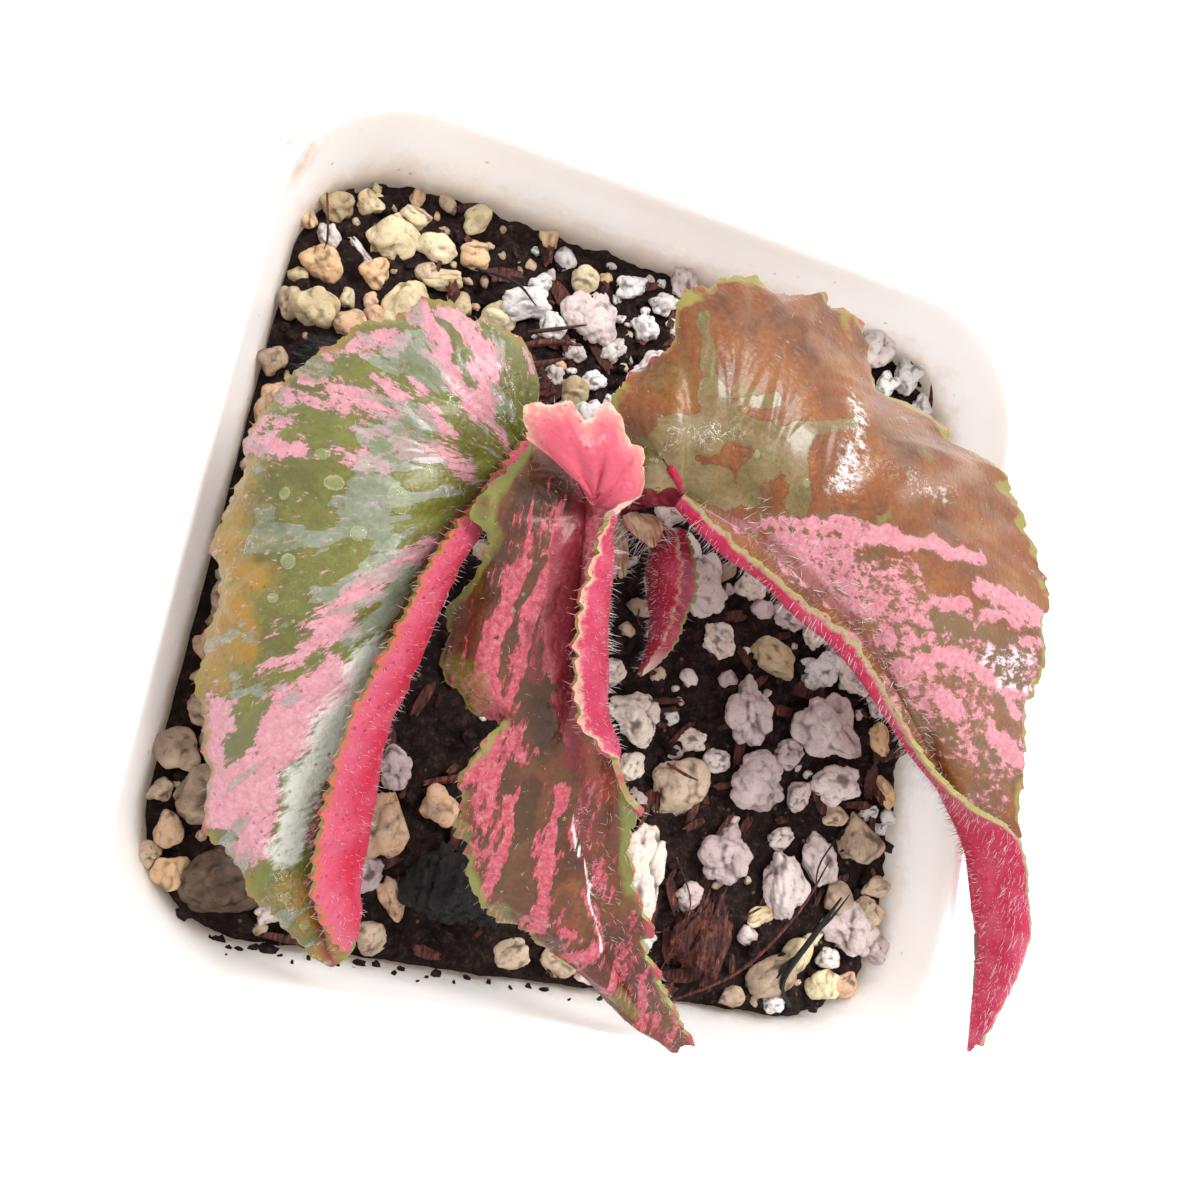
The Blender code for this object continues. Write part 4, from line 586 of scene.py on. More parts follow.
# Camera, worked out from the pot's four inner rim corners in the photo
CAMERA_PLACE = (-31.84, -17.80, 168.49)
CAMERA_RIGHT = (0.92741, 0.19419, 0.31969)
CAMERA_DOWN = (0.23586, -0.96694, -0.09689)
CAMERA_AHEAD = (0.29030, 0.16526, -0.94256)
CAMERA_LENS = 32.55

# How far the margin's outline is felt inside the blade
MARGIN_FADE = 3.0
LEAF_THICKNESS = 0.5
RIPPLE_HEIGHT = 0.8
VEIN_DEPTH = 0.2
PUFF_HEIGHT = 0.26
TOOTH_LEAN = 0.68
PUCKER_LENGTH = 1.7
UNEVEN_LENGTH = 4.1
# Seeds the noise that the marks' borders wander by
WANDER_SEED = 1
# Up to which section the middle leaf's lobe reaches, and the right leaf's hem
FAN_END = 9.5
HEM_WIDTH = 0.9
HEM_WIDENING = 2.3
# Points of two halves nearer than this become one at the midrib
SEWN = 0.006
# Leaves whose rolled half lies on the other side of the midrib
MIRRORED = ("leaf_right", "leaf_young")
# How strongly veins and puffs stand out, depth and pitch of the teeth, and how far the brush strokes stray
RELIEF = {"leaf_left": 0.8, "leaf_middle": 0.85, "leaf_right": 0.5, ("leaf_right", "rolled"): 0.1}
TEETH = {"leaf_left": (0.6, 1.3), "leaf_middle": (0.65, 1.6), ("leaf_middle", "rolled"): (0.8, 2.3),
         "leaf_right": (0.85, 1.9), ("leaf_right", "rolled"): (0.4, 2.4), "leaf_young": (0.45, 0.9)}
STRAY = {"leaf_left": 0.8, "leaf_middle": 0.35, "leaf_right": 0.7}

# What the word after the dot in a node's kind sets, where that isn't its operation
WORD_SETS = {"MixRGB": "blend_type", "Attribute": "attribute_name"}


# Helpers

def linear_colour(hex_colour):
    """sRGB hex turned to the linear values that a shader takes."""
    channels = [int(hex_colour[i:i + 2], 16) / 255 for i in (1, 3, 5)]
    return [c / 12.92 if c <= 0.04045 else ((c + 0.055) / 1.055) ** 2.4 for c in channels] + [1.0]


def fill(node, sockets):
    """Fills a node's sockets with numbers, hex colours or other nodes' outputs."""
    for name, value in sockets.items():
        socket = node.inputs[name.replace("_", " ") if isinstance(name, str) else name]
        if isinstance(value, bpy.types.NodeSocket):
            node.id_data.links.new(value, socket)
        else:
            socket.default_value = linear_colour(value) if isinstance(value, str) else value


def add_node(tree, kind, *inputs, out=0, size=None, stops=(), **more):
    """Adds a node with its settings and links, and returns its output called out.

    The word after the dot in its kind is its operation, blend or attribute. Inputs fill its sockets in their
    order. A capitalised name is a socket too, and any other name is a setting. Size is how many millimetres
    a texture's features take. Stops fill a colour ramp.
    """
    kind, _, word = kind.partition(".")
    node = tree.nodes.new("ShaderNode" + kind)
    if word:
        setattr(node, WORD_SETS.get(kind, "operation"), word)
    for name in [name for name in more if name.islower()]:
        setattr(node, name, more.pop(name))
    if size:
        more["Scale"] = 1.0 / (size * MM)
    fill(node, dict(enumerate(inputs)) | more)
    if stops:
        ramp = node.color_ramp.elements
        while len(ramp) < len(stops):
            ramp.new(0.5)
        for element, (place, colour) in zip(ramp, stops):
            element.position = place
            element.color = linear_colour(colour)
    return node.outputs[out]


def new_material(name):
    """A new material; returns it with what adds its nodes and its place coordinates."""
    made = bpy.data.materials.new(name)
    made.use_nodes = True
    add = partial(add_node, made.node_tree)
    return made, add, add("TexCoord", out="Object")


def set_shader(made, **sockets):
    """Fills the sockets of a material's shader and returns the material."""
    fill(made.node_tree.nodes["Principled BSDF"], sockets)
    return made


def start_shape(operator, **sizes):
    """A new plain shape, alone selected."""
    bpy.ops.object.select_all(action="DESELECT")
    operator(**sizes)
    return bpy.context.object


def open_mesh():
    """Opens the active piece's mesh with all of it selected."""
    bpy.ops.object.mode_set(mode="EDIT")
    bpy.ops.mesh.select_all(action="SELECT")


def close_mesh():
    """Turns the selected faces outward and closes the mesh."""
    bpy.ops.mesh.normals_make_consistent(inside=False)
    bpy.ops.object.mode_set(mode="OBJECT")


def pick(*pieces):
    """Selects these pieces alone, the first one active."""
    bpy.ops.object.select_all(action="DESELECT")
    for piece in pieces:
        piece.select_set(True)
    bpy.context.view_layer.objects.active = pieces[0]


def join(pieces):
    """One piece from several."""
    pick(*pieces)
    if len(pieces) > 1:
        bpy.ops.object.join()
    return pieces[0]


def smooth(piece, degrees=40):
    pick(piece)
    bpy.ops.object.shade_smooth_by_angle(angle=math.radians(degrees))


def settle(piece, name, finishes, replaced=()):
    """Names a finished piece, gives it its finishes and ties it to the model's frame."""
    piece.name = name
    piece.data.name = name
    faces = np.zeros(len(piece.data.polygons), np.int32)
    piece.data.polygons.foreach_get("material_index", faces)
    piece.data.materials.clear()
    for finish in finishes:
        piece.data.materials.append(finish)
    piece.data.polygons.foreach_set("material_index", np.minimum(faces, len(finishes) - 1))
    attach(piece, "root")
    if replaced:
        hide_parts(*replaced)
    return piece


def points_of(piece):
    flat = np.empty(len(piece.data.vertices) * 3, np.float32)
    piece.data.vertices.foreach_get("co", flat)
    return flat.reshape(-1, 3).astype(float)


def move_points(piece, points):
    piece.data.vertices.foreach_set("co", np.asarray(points, np.float32).ravel())
    piece.data.update()


def store(piece, name, values):
    """A number for each point of the piece, which its material reads."""
    if name not in piece.data.attributes:
        piece.data.attributes.new(name, "FLOAT", "POINT")
    piece.data.attributes[name].data.foreach_set("value", np.asarray(values, np.float32))


def bury(template, places, name):
    """One mesh from many copies of a template: places is a list of 4x4 matrices in metres."""
    points = points_of(template)
    faces = [tuple(face.vertices) for face in template.data.polygons]
    matrices = np.array([np.array(place) for place in places])
    moved = np.einsum("nij,vj->nvi", matrices[:, :3, :3], points) + matrices[:, None, :3, 3]
    count = len(points)
    all_faces = [tuple(v + count * k for v in face) for k in range(len(places)) for face in faces]
    mesh = bpy.data.meshes.new(name)
    mesh.from_pydata(moved.reshape(-1, 3).tolist(), [], all_faces)
    made = bpy.data.objects.new(name, mesh)
    bpy.context.scene.collection.objects.link(made)
    store(made, "tip", np.tile(points[:, 2] / max(points[:, 2].max(), 1e-6), len(places)))
    return made


# Curves and leaf surfaces

def smooth_curve(points, steps):
    """Catmull-Rom curve through the points, read at steps from 0 to the last point's number."""
    points = np.asarray(points, float)
    padded = np.vstack([2 * points[0] - points[1], points, 2 * points[-1] - points[-2]])
    steps = np.clip(np.asarray(steps, float), 0, len(points) - 1 - 1e-9)
    first = np.floor(steps).astype(int)
    t = (steps - first)[:, None]
    a, b, c, d = (padded[first + k] for k in range(4))
    return 0.5 * (2 * b + (c - a) * t + (2 * a - 5 * b + 4 * c - d) * t**2 + (3 * b - a - 3 * c + d) * t**3)


def smooth_section(points, shares):
    """Smooth path through a section's few points, read at shares of its length."""
    points = np.asarray(points, float)
    spans = np.linalg.norm(np.diff(points, axis=0), axis=1) + 1e-4
    knots = np.concatenate([[0], np.cumsum(spans)]) / spans.sum()
    slopes = np.gradient(points, knots, axis=0, edge_order=2)
    span = np.clip(np.searchsorted(knots, shares, side="right") - 1, 0, len(points) - 2)
    width = (knots[span + 1] - knots[span])[:, None]
    t = (shares[:, None] - knots[span][:, None]) / width
    start, end = points[span], points[span + 1]
    leave, arrive = slopes[span] * width, slopes[span + 1] * width
    return ((2 * t**3 - 3 * t**2 + 1) * start + (t**3 - 2 * t**2 + t) * leave
            + (3 * t**2 - 2 * t**3) * end + (t**3 - t**2) * arrive)


def along(curve):
    """The distance along a dense curve, as shares of its whole length, and that length."""
    length = np.concatenate([[0], np.cumsum(np.linalg.norm(np.diff(curve, axis=0), axis=1))])
    return length / length[-1], length[-1]


def even_steps(sections, count, low, high):
    """Section numbers between two of them, evenly spaced along the margin."""
    dense = np.linspace(low, high, 400)
    share, _ = along(smooth_curve([points[-1] for _, points in sections], dense))
    return np.interp(np.linspace(0, 1, count), share, dense)


def half_steps(leaf):
    """Section numbers of both halves' columns, so that their feet meet point by point on the midrib."""
    broad, rolled = leaf["broad"], leaf["rolled"]
    broad_steps = even_steps(broad, leaf["columns"], 0, len(broad) - 1)
    feet = np.interp(broad_steps, range(len(broad)), [start for start, _ in broad])
    first = feet[0]
    feet = np.unique(np.round(feet, 9))
    starts = np.array([start for start, _ in rolled])
    fan_end = int(np.sum(starts <= starts[0] + 1e-9)) - 1
    pieces = []
    if fan_end > 0:
        pieces.append(even_steps(rolled, leaf["fan"][1], 0, fan_end)[:-1])
    if first > starts[0]:
        extra = np.linspace(starts[0], first, 16)[:-1]
        pieces.append(np.interp(extra, starts[fan_end:], range(fan_end, len(starts))))
    pieces.append(np.interp(feet, starts[fan_end:], range(fan_end, len(starts))))
    return broad_steps, np.concatenate(pieces)


def blade_half(leaf, half, steps, rows):
    """A grid of points from the midrib to the margin along each column, before teeth and relief."""
    sections = leaf[half]
    midrib = leaf["midrib"]
    starts = np.interp(steps, range(len(sections)), [start for start, _ in sections])
    rib_dense = np.linspace(0, len(midrib) - 1, 40 * len(midrib))
    rib_share, _ = along(smooth_curve(midrib, rib_dense))
    guides = [smooth_curve(midrib, np.interp(starts, rib_share, rib_dense))]
    for number in range(len(sections[0][1])):
        guides.append(smooth_curve([points[number] for _, points in sections], steps))
    shares = np.linspace(0, 1, rows + 1) ** 0.9
    return np.array([smooth_section(column, shares) for column in np.stack(guides, 1)])


def grid_normals(grid):
    """Unit normals of a grid of points."""
    across = np.gradient(grid, axis=0)
    out = np.gradient(grid, axis=1)
    normal = np.cross(out, across)
    size = np.linalg.norm(normal, axis=2, keepdims=True)
    return normal / np.maximum(size, 1e-9)


def distance_to(points, line):
    """Each point's distance to a line of a few straight runs."""
    best = np.full(len(points), 1e9)
    for start, end in zip(line, line[1:]):
        run = end - start
        t = np.clip((points - start) @ run / max(run @ run, 1e-12), 0, 1)
        best = np.minimum(best, np.linalg.norm(points - start - t[:, None] * run, axis=1))
    return best


def vein_lines(grid, steps, mains):
    """The main veins run out along their sections, and each sends side veins towards the margin."""
    columns, rows = grid.shape[:2]
    at = np.interp(mains, steps, range(columns))
    neighbours = np.concatenate([[max(at[0] - (at[1] - at[0]), 0)], at, [columns - 1]])
    lines = [(grid[int(round(place)), ::3], 1.0) for place in at]
    for number, place in enumerate(at, 1):
        for side in (-1, 1):
            reach = (neighbours[number + side] - place) * 0.48
            for start in (0.18, 0.36, 0.54, 0.72):
                start += 0.07 * noise.noise(Vector((place, start * 9, side)))
                shares = np.linspace(start, min(start + 0.42, 0.98), 7)
                turn = ((shares - start) / 0.42) ** 0.85
                cells = [(int(np.clip(round(place + reach * t), 0, columns - 1)), int(round(s * (rows - 1))))
                         for t, s in zip(turn, shares)]
                lines.append((np.array([grid[cell] for cell in cells]), 0.55))
    return lines


def teeth(place, pitch, depth, rng, rounded):
    """How far the margin stands out at each place along it: uneven teeth that lean towards the tip."""
    offset = np.zeros(len(place))
    at = -rng.uniform(0, pitch)
    while at < place[-1]:
        gap = rng.uniform(0.6, 1.4) * pitch
        height = rng.uniform(0.4, 1.1) * depth * min(1.0, gap / pitch)
        t = (place - at) / gap
        inside = (t >= 0) & (t < 1)
        held = np.clip(t, 0, 1)
        if rounded:
            shape = np.sin(np.pi * held) ** 0.7
        else:
            shape = np.where(t < TOOTH_LEAN, held / TOOTH_LEAN, (1 - held) / (1 - TOOTH_LEAN)) ** 1.25
        offset[inside] = height * shape[inside]
        at += gap
    return offset


def vein_relief(grid, lines):
    """How far the skin sinks at its veins and puffs up between them, and how near each point is to a vein."""
    flat = grid.reshape(-1, 3)
    relief = np.zeros(len(flat))
    vein = np.zeros(len(flat))
    nearest = np.full(len(flat), 9.0)
    for line, weight in lines:
        distance = distance_to(flat, line)
        vein = np.maximum(vein, weight * np.exp(-(distance / (0.26 * weight + 0.1)) ** 2))
        relief = np.minimum(relief, -VEIN_DEPTH * weight * np.exp(-(distance / (0.7 * weight)) ** 2))
        nearest = np.minimum(nearest, distance)
    uneven = np.array([noise.noise(Vector(point) / UNEVEN_LENGTH) for point in flat])
    pucker = np.array([noise.noise(Vector(point) / PUCKER_LENGTH) for point in flat])
    puff = PUFF_HEIGHT * (1 - np.exp(-(nearest / 1.5) ** 2)) + 0.1 * pucker
    relief = (relief + puff) * (1 + 0.9 * uneven)
    return relief.reshape(grid.shape[:2]), vein.reshape(grid.shape[:2])


def dress_half(leaf, name, half, steps, rows, rng):
    """One half of a blade with its teeth, ripple and vein relief, and what its material reads."""
    grid = blade_half(leaf, half, steps, rows)
    place = np.concatenate([[0], np.cumsum(np.linalg.norm(np.diff(grid[:, -1], axis=0), axis=1))])
    lengths = np.concatenate([np.zeros((len(steps), 1)),
                              np.cumsum(np.linalg.norm(np.diff(grid, axis=1), axis=2), axis=1)], axis=1)
    reach = lengths[:, -1]
    shares = np.linspace(0, 1, rows + 1) ** 0.9
    ripple = np.array([0.9 * noise.noise(Vector((at / 8.0, len(name), 0)))
                       + 0.3 * noise.noise(Vector((at / 3.2, 5, 0))) for at in place]) * RIPPLE_HEIGHT
    ripple *= np.clip(reach / 12, 0, 1)
    grid[:, :, 2] += ripple[:, None] * shares[None, :] ** 2
    relief, vein = vein_relief(grid, vein_lines(grid, steps, leaf["veins"][half == "rolled"]))
    fade = np.clip(lengths / 3.5, 0, 1) * np.clip((reach[:, None] - lengths) / 1.2, 0.25, 1)
    fade *= RELIEF.get((name, half), RELIEF.get(name, 0.3))
    normal = grid_normals(grid)
    side = (1.0 if half == "broad" else -1.0) * (-1.0 if name in MIRRORED else 1.0)
    grid = grid + side * normal * (relief * fade)[:, :, None]
    out = grid[:, -1] - grid[:, -3]
    out /= np.maximum(np.linalg.norm(out, axis=1, keepdims=True), 1e-9)
    outline = np.array(MARGINS.get((name, half), [0]), float) / 10
    stand = np.interp(place, MARGIN_STEP * np.arange(len(outline)), outline)
    stand = np.clip(stand, -0.1 * reach, 0.2 * reach)
    flare = out * (1, 1, 0.35)
    flare /= np.maximum(np.linalg.norm(flare, axis=1, keepdims=True), 1e-9)
    weight = np.clip(1 - (reach[:, None] - lengths) / MARGIN_FADE, 0, 1) ** 1.5
    grid = grid + flare[:, None, :] * (stand[:, None] * weight)[:, :, None]
    depth, pitch = TEETH.get((name, half), TEETH.get(name, (0.1, 1)))
    scalloped = (name, half) == ("leaf_middle", "rolled")
    fine = teeth(place, pitch, depth, rng, scalloped or name == "leaf_young")
    fine += teeth(place, pitch * 0.42, depth * 0.4, rng, False)
    fine = np.minimum(fine, (0.4 if scalloped else 0.16) * reach)
    close = np.clip(1 - (reach[:, None] - lengths) / 1.0, 0, 1)
    grid = grid + out[:, None, :] * (fine[:, None] * close)[:, :, None]
    normal = grid_normals(grid)
    return dict(grid=grid, normal=side * normal, place=place, lengths=lengths, reach=reach, out=out,
                vein=vein, half=half, tooth=(fine / depth)[:, None] * close)


def lay_grid(half):
    """A primitive grid with its points moved onto a blade half, and the numbers that materials read."""
    points = half["grid"]
    columns, rows = points.shape[:2]
    piece = start_shape(bpy.ops.mesh.primitive_grid_add, x_subdivisions=rows - 1, y_subdivisions=columns - 1,
                        size=1)
    start = points_of(piece)
    across = np.rint((start[:, 0] + 0.5) * (rows - 1)).astype(int)
    down = np.rint((start[:, 1] + 0.5) * (columns - 1)).astype(int)
    move_points(piece, points[down, across] * MM)
    corner = np.empty(len(piece.data.loops), int)
    piece.data.loops.foreach_get("vertex_index", corner)
    offset = 0.0 if half["half"] == "broad" else 500.0
    blade_map = np.stack([half["place"][down] + offset, half["lengths"][down, across]], 1)
    piece.data.uv_layers[0].data.foreach_set("uv", blade_map[corner].astype(np.float32).ravel())
    for key, values in half["marks"].items():
        store(piece, key, values[down, across])
    return piece


def paint(spots, strokes):
    """How strongly soft brush strokes cover each spot, seen from above: start, end, radius, strength."""
    cover = np.zeros(len(spots))
    for *ends, radius, strength in strokes:
        distance = distance_to(spots, np.array(ends, float).reshape(2, 2))
        cover = np.maximum(cover, strength * np.clip(1.35 - distance / radius, 0, 1))
    return cover


def make_leaf(name, leaf, finishes):
    """A leaf from its two halves, sewn at the midrib and given its thickness."""
    strokes = STROKES.get(name, {})
    leaf = leaf | {half: [(start, np.reshape(points, (-1, 3))) for start, *points in leaf[half]]
                   for half in ("broad", "rolled")} | {"midrib": np.reshape(leaf["midrib"], (-1, 3))}
    rng = np.random.default_rng(sum(map(ord, name)))
    halves = []
    for half, steps, rows in zip(("broad", "rolled"), half_steps(leaf), leaf["rows"]):
        made = dress_half(leaf, name, half, steps, rows, rng)
        flat = made["grid"].reshape(-1, 3)
        size = made["grid"].shape[:2]
        inward = made["reach"][:, None] - made["lengths"]
        edge = np.clip(inward / np.minimum(3.0, 0.45 * made["reach"])[:, None], 0, 1)
        marks = {"vein": made["vein"], "edge": edge, "rolled": np.full(size, float(half == "rolled"))}
        marks["midrib"] = np.exp(-(made["lengths"] / 0.4) ** 2)
        marks["tooth"] = made["tooth"]
        # The middle leaf's foot is a lobe that is turned over
        fan = np.clip((FAN_END - steps) / 1.5, 0, 1) * ((name, half) == ("leaf_middle", "rolled"))
        marks["fan"] = fan[:, None] * np.ones(size)
        marks["hem"] = np.zeros(size)
        # The right leaf's fold leaves a hem that widens towards its tip
        if (name, half) == ("leaf_right", "broad"):
            starts = [start for start, _ in leaf[half]]
            width = (HEM_WIDTH + HEM_WIDENING * np.interp(steps, range(len(starts)), starts))[:, None]
            marks["hem"] = np.clip((width - made["lengths"]) / 0.3, 0, 1)
            marks["midrib"] = np.exp(-((made["lengths"] - width) / 0.22) ** 2)
        wander = [noise.noise_vector(Vector(p) / 2.6) + noise.noise_vector(Vector(p) / 0.9) * 0.45
                  for p in flat]
        spots = flat[:, :2] + STRAY.get(name, 0) * np.array(wander)[:, :2]
        for key in PAINTS:
            marks[key] = paint(spots, strokes.get(key, ())).reshape(size)
        made["marks"] = marks
        halves.append(made)
    sheet = join([lay_grid(half) for half in halves])
    open_mesh()
    bpy.ops.mesh.remove_doubles(threshold=SEWN * MM)
    close_mesh()
    turned = sum(face.normal.z * face.area for face in sheet.data.polygons
                 if sheet.data.attributes["rolled"].data[face.vertices[0]].value < 0.5)
    if turned < 0:
        sheet.data.flip_normals()
    while len(sheet.data.materials) < 3:
        sheet.data.materials.append(None)
    thicken = sheet.modifiers.new("thickness", "SOLIDIFY")
    thicken.thickness = LEAF_THICKNESS * MM
    thicken.offset = 0.0
    thicken.material_offset = 1
    thicken.material_offset_rim = 2
    bpy.ops.object.modifier_apply(modifier="thickness")
    smooth(sheet, 50)
    settle(sheet, name + "_blade", finishes, (name,))
    return halves


# Hairs

# A hair's foot radius in millimetres, and the height up to which it widens
HAIR_RADIUS = 0.027
HAIR_WAIST = 0.7


def hair_template():
    """One hair: a three-sided cone, a twentieth of a millimetre thick and one long, that bends a little."""
    hair = start_shape(bpy.ops.mesh.primitive_cone_add, vertices=3, radius1=HAIR_RADIUS, radius2=0.0,
                       depth=1.0, location=(0, 0, 0.5), end_fill_type="TRIFAN")
    bpy.ops.object.transform_apply(location=True, rotation=False, scale=False)
    open_mesh()
    for height in (0.35, HAIR_WAIST):
        bpy.ops.mesh.select_all(action="SELECT")
        bpy.ops.mesh.bisect(plane_co=(0, 0, height), plane_no=(0, 0, 1))
    bpy.ops.object.mode_set(mode="OBJECT")
    points = points_of(hair)
    widen = 1 + 0.55 * np.clip(points[:, 2], 0, HAIR_WAIST) / HAIR_WAIST
    points[:, 0] = points[:, 0] * widen + 0.22 * points[:, 2] ** 2
    points[:, 1] *= widen
    move_points(hair, points)
    return hair


def hair_matrix(root, direction, length, spin, thickness=1.0):
    """Where one hair goes: its root in millimetres, which way it points and how long it is."""
    turn = Vector(direction).to_track_quat("Z", "X").to_matrix() @ Matrix.Rotation(spin, 3, "Z")
    scale = Matrix.Diagonal((thickness, thickness, length))
    return Matrix.Translation(Vector(root) * MM) @ (turn @ scale * MM).to_4x4()


def margin_hairs(half, rng, pitch, length):
    """Hairs that stand out from a half's margin."""
    grid, place, out, normal = half["grid"], half["place"], half["out"], half["normal"]
    found = []
    at = 0.0
    while at < place[-1]:
        column = int(np.clip(np.searchsorted(place, at), 0, len(place) - 1))
        along_margin = grid[min(column + 2, len(place) - 1), -1] - grid[max(column - 2, 0), -1]
        along_margin = along_margin / max(np.linalg.norm(along_margin), 1e-6)
        direction = out[column] + normal[column, -1] * rng.uniform(-0.4, 0.7)
        direction = direction + along_margin * rng.uniform(-0.3, 0.8)
        size = length * rng.uniform(0.55, 1.25)
        found.append(hair_matrix(grid[column, -1] - out[column] * 0.1, direction, size, rng.uniform(0, 6.3)))
        at += pitch * rng.uniform(0.4, 1.6)
    return found


def surface_hairs(half, rng, count, length, under, thickness=0.7, lean=(0, 0, 0), low=(0, 0), high=(1, 1)):
    """Hairs that stand up from one side of a half, spread evenly over its area."""
    grid, normal = half["grid"], half["normal"]
    columns, rows = grid.shape[:2]
    span = slice(int(low[0] * (columns - 1)), max(int(high[0] * (columns - 1)), 2))
    rise = slice(int(low[1] * (rows - 1)), max(int(high[1] * (rows - 1)), 2))
    cells = np.linalg.norm(np.cross(np.gradient(grid, axis=0), np.gradient(grid, axis=1)), axis=2)[span, rise]
    chosen = rng.choice(cells.size, size=count, p=cells.ravel() / cells.sum())
    side = -1.0 if under else 1.0
    found = []
    for cell in chosen:
        column, row = divmod(int(cell), cells.shape[1])
        column += span.start
        row += rise.start
        up = normal[column, row] * side
        direction = up + rng.normal(0, 0.38, 3) + np.array(lean)
        root = grid[column, row] + up * (LEAF_THICKNESS * 0.45)
        size, spin = length * rng.uniform(0.5, 1.3), rng.uniform(0, 6.3)
        found.append(hair_matrix(root, direction, size, spin, thickness))
    return found


# Stones and soil

def rounded_reach(angle, half, radius):
    """How far a square with round corners reaches in a direction."""
    c, s = np.abs(np.cos(angle)), np.abs(np.sin(angle))
    flat = half / np.maximum(c, s)
    inner = half - radius
    along_diagonal = (c + s) * inner
    corner = along_diagonal + np.sqrt(np.maximum(along_diagonal**2 - 2 * inner**2 + radius**2, 0))
    ratio = np.minimum(c, s) / np.maximum(c, s)
    return np.where(ratio * half > inner, corner, flat)


def inner_half(z):
    return POT_INNER_WIDTH / 2 - (POT_HEIGHT - z) * POT_TAPER


def hold_inside(piece):
    """Presses what would come through the pot's wall back into it."""
    points = points_of(piece) / MM
    past = np.maximum(abs(points[:, :2]) - (inner_half(points[:, 2]) - SOIL_CORNER)[:, None], 0)
    reach = np.hypot(*past.T)
    share = np.clip(reach - SOIL_CORNER - WALL_BITE, 0, None) / np.maximum(reach, 1e-6)
    points[:, :2] -= np.sign(points[:, :2]) * past * share[:, None]
    move_points(piece, points * MM)


def past_corner(x, y, limit, start, radius):
    """Whether a spot near a corner of the pot lies outside its rounding."""
    x, y = abs(x) - limit, abs(y) - limit
    return min(x, y) > -start and math.hypot(x + radius, y + radius) > radius


def soil_level(x, y):
    """The soil's surface without its grit."""
    swell = noise.noise(Vector((x, y, 0.0)) / SOIL_SWELL_LENGTH) * SOIL_SWELL
    return SOIL_TOP - SOIL_TILT * y + swell


def make_soil(finish):
    """A fine grid laid as the crumbly surface, with its border taken down to the pot's floor."""
    grid = bpy.ops.mesh.primitive_grid_add
    bed = start_shape(grid, x_subdivisions=SOIL_GRID, y_subdivisions=SOIL_GRID, size=2)
    points = points_of(bed)
    angle = np.arctan2(points[:, 1], points[:, 0])
    level = np.maximum(np.abs(points[:, 0]), np.abs(points[:, 1]))
    reach = rounded_reach(angle, inner_half(SOIL_TOP) - SOIL_GAP, SOIL_CORNER) * level
    x, y = reach * np.cos(angle), reach * np.sin(angle)
    z = np.empty(len(x))
    for i, (px, py) in enumerate(zip(x, y)):
        spot = Vector((px, py, 0.0))
        crumbs = noise.fractal(spot / CRUMB_LENGTH, 0.8, 2.1, 4) * 0.75
        clod = max(0.0, 1 - noise.voronoi(spot / CLOD_LENGTH)[0][0] * 1.35)
        small = max(0.0, 1 - noise.voronoi(spot / SMALL_CLOD_LENGTH + Vector((7, 3, 0)))[0][0] * 1.5)
        z[i] = soil_level(px, py) + crumbs + 1.1 * clod**0.8 + 0.38 * small - 0.35
    z -= np.clip((level - 0.93) / 0.07, 0, 1) ** 2 * 0.9
    move_points(bed, np.stack([x, y, z], 1) * MM)
    pick(bed)
    open_mesh()
    bpy.ops.mesh.region_to_loop()
    bpy.ops.mesh.extrude_edges_move(TRANSFORM_OT_translate={"value": (0, 0, -SOIL_SKIRT_DROP * MM)})
    bpy.ops.transform.resize(value=(SOIL_SKIRT_SHARE, SOIL_SKIRT_SHARE, 1), center_override=(0, 0, 0))
    bpy.ops.mesh.extrude_edges_move(TRANSFORM_OT_translate={"value": (0, 0, -SOIL_BED_DROP * MM)})
    bpy.ops.transform.resize(value=(SOIL_BED_SHARE, SOIL_BED_SHARE, 0),
                             center_override=(0, 0, (POT_FLOOR + 0.3) * MM))
    bpy.ops.mesh.fill()
    bpy.ops.mesh.select_all(action="SELECT")
    close_mesh()
    smooth(bed, 60)
    return settle(bed, "soil_bed", [finish], ("soil",))


STONE_SHAPES = {
    # lump height and rate, popcorn height and rate, pit depth and rate, flat sides, stretch of the grain
    "pebble_cream": (0.36, 1.0, 0.08, 1.8, 0.05, 4.0, 1, 1.0),
    "pebble_beige": (0.36, 1.0, 0.08, 2.0, 0.06, 4.0, 1, 1.0),
    "pumice_lilac": (0.42, 1.0, 0.16, 2.3, 0.08, 4.5, 0, 1.0),
    "perlite": (0.34, 1.3, 0.16, 2.0, 0.05, 5.0, 0, 1.0),
    "stone_brown": (0.24, 1.0, 0.08, 2.6, 0.06, 5.0, 2, 1.0),
    "charcoal": (0.20, 1.2, 0.06, 2.2, 0.08, 5.5, 6, 0.25),
    "bark": (0.22, 1.2, 0.10, 2.6, 0.08, 5.0, 5, 0.22),
}
STONE_MODELS = 5


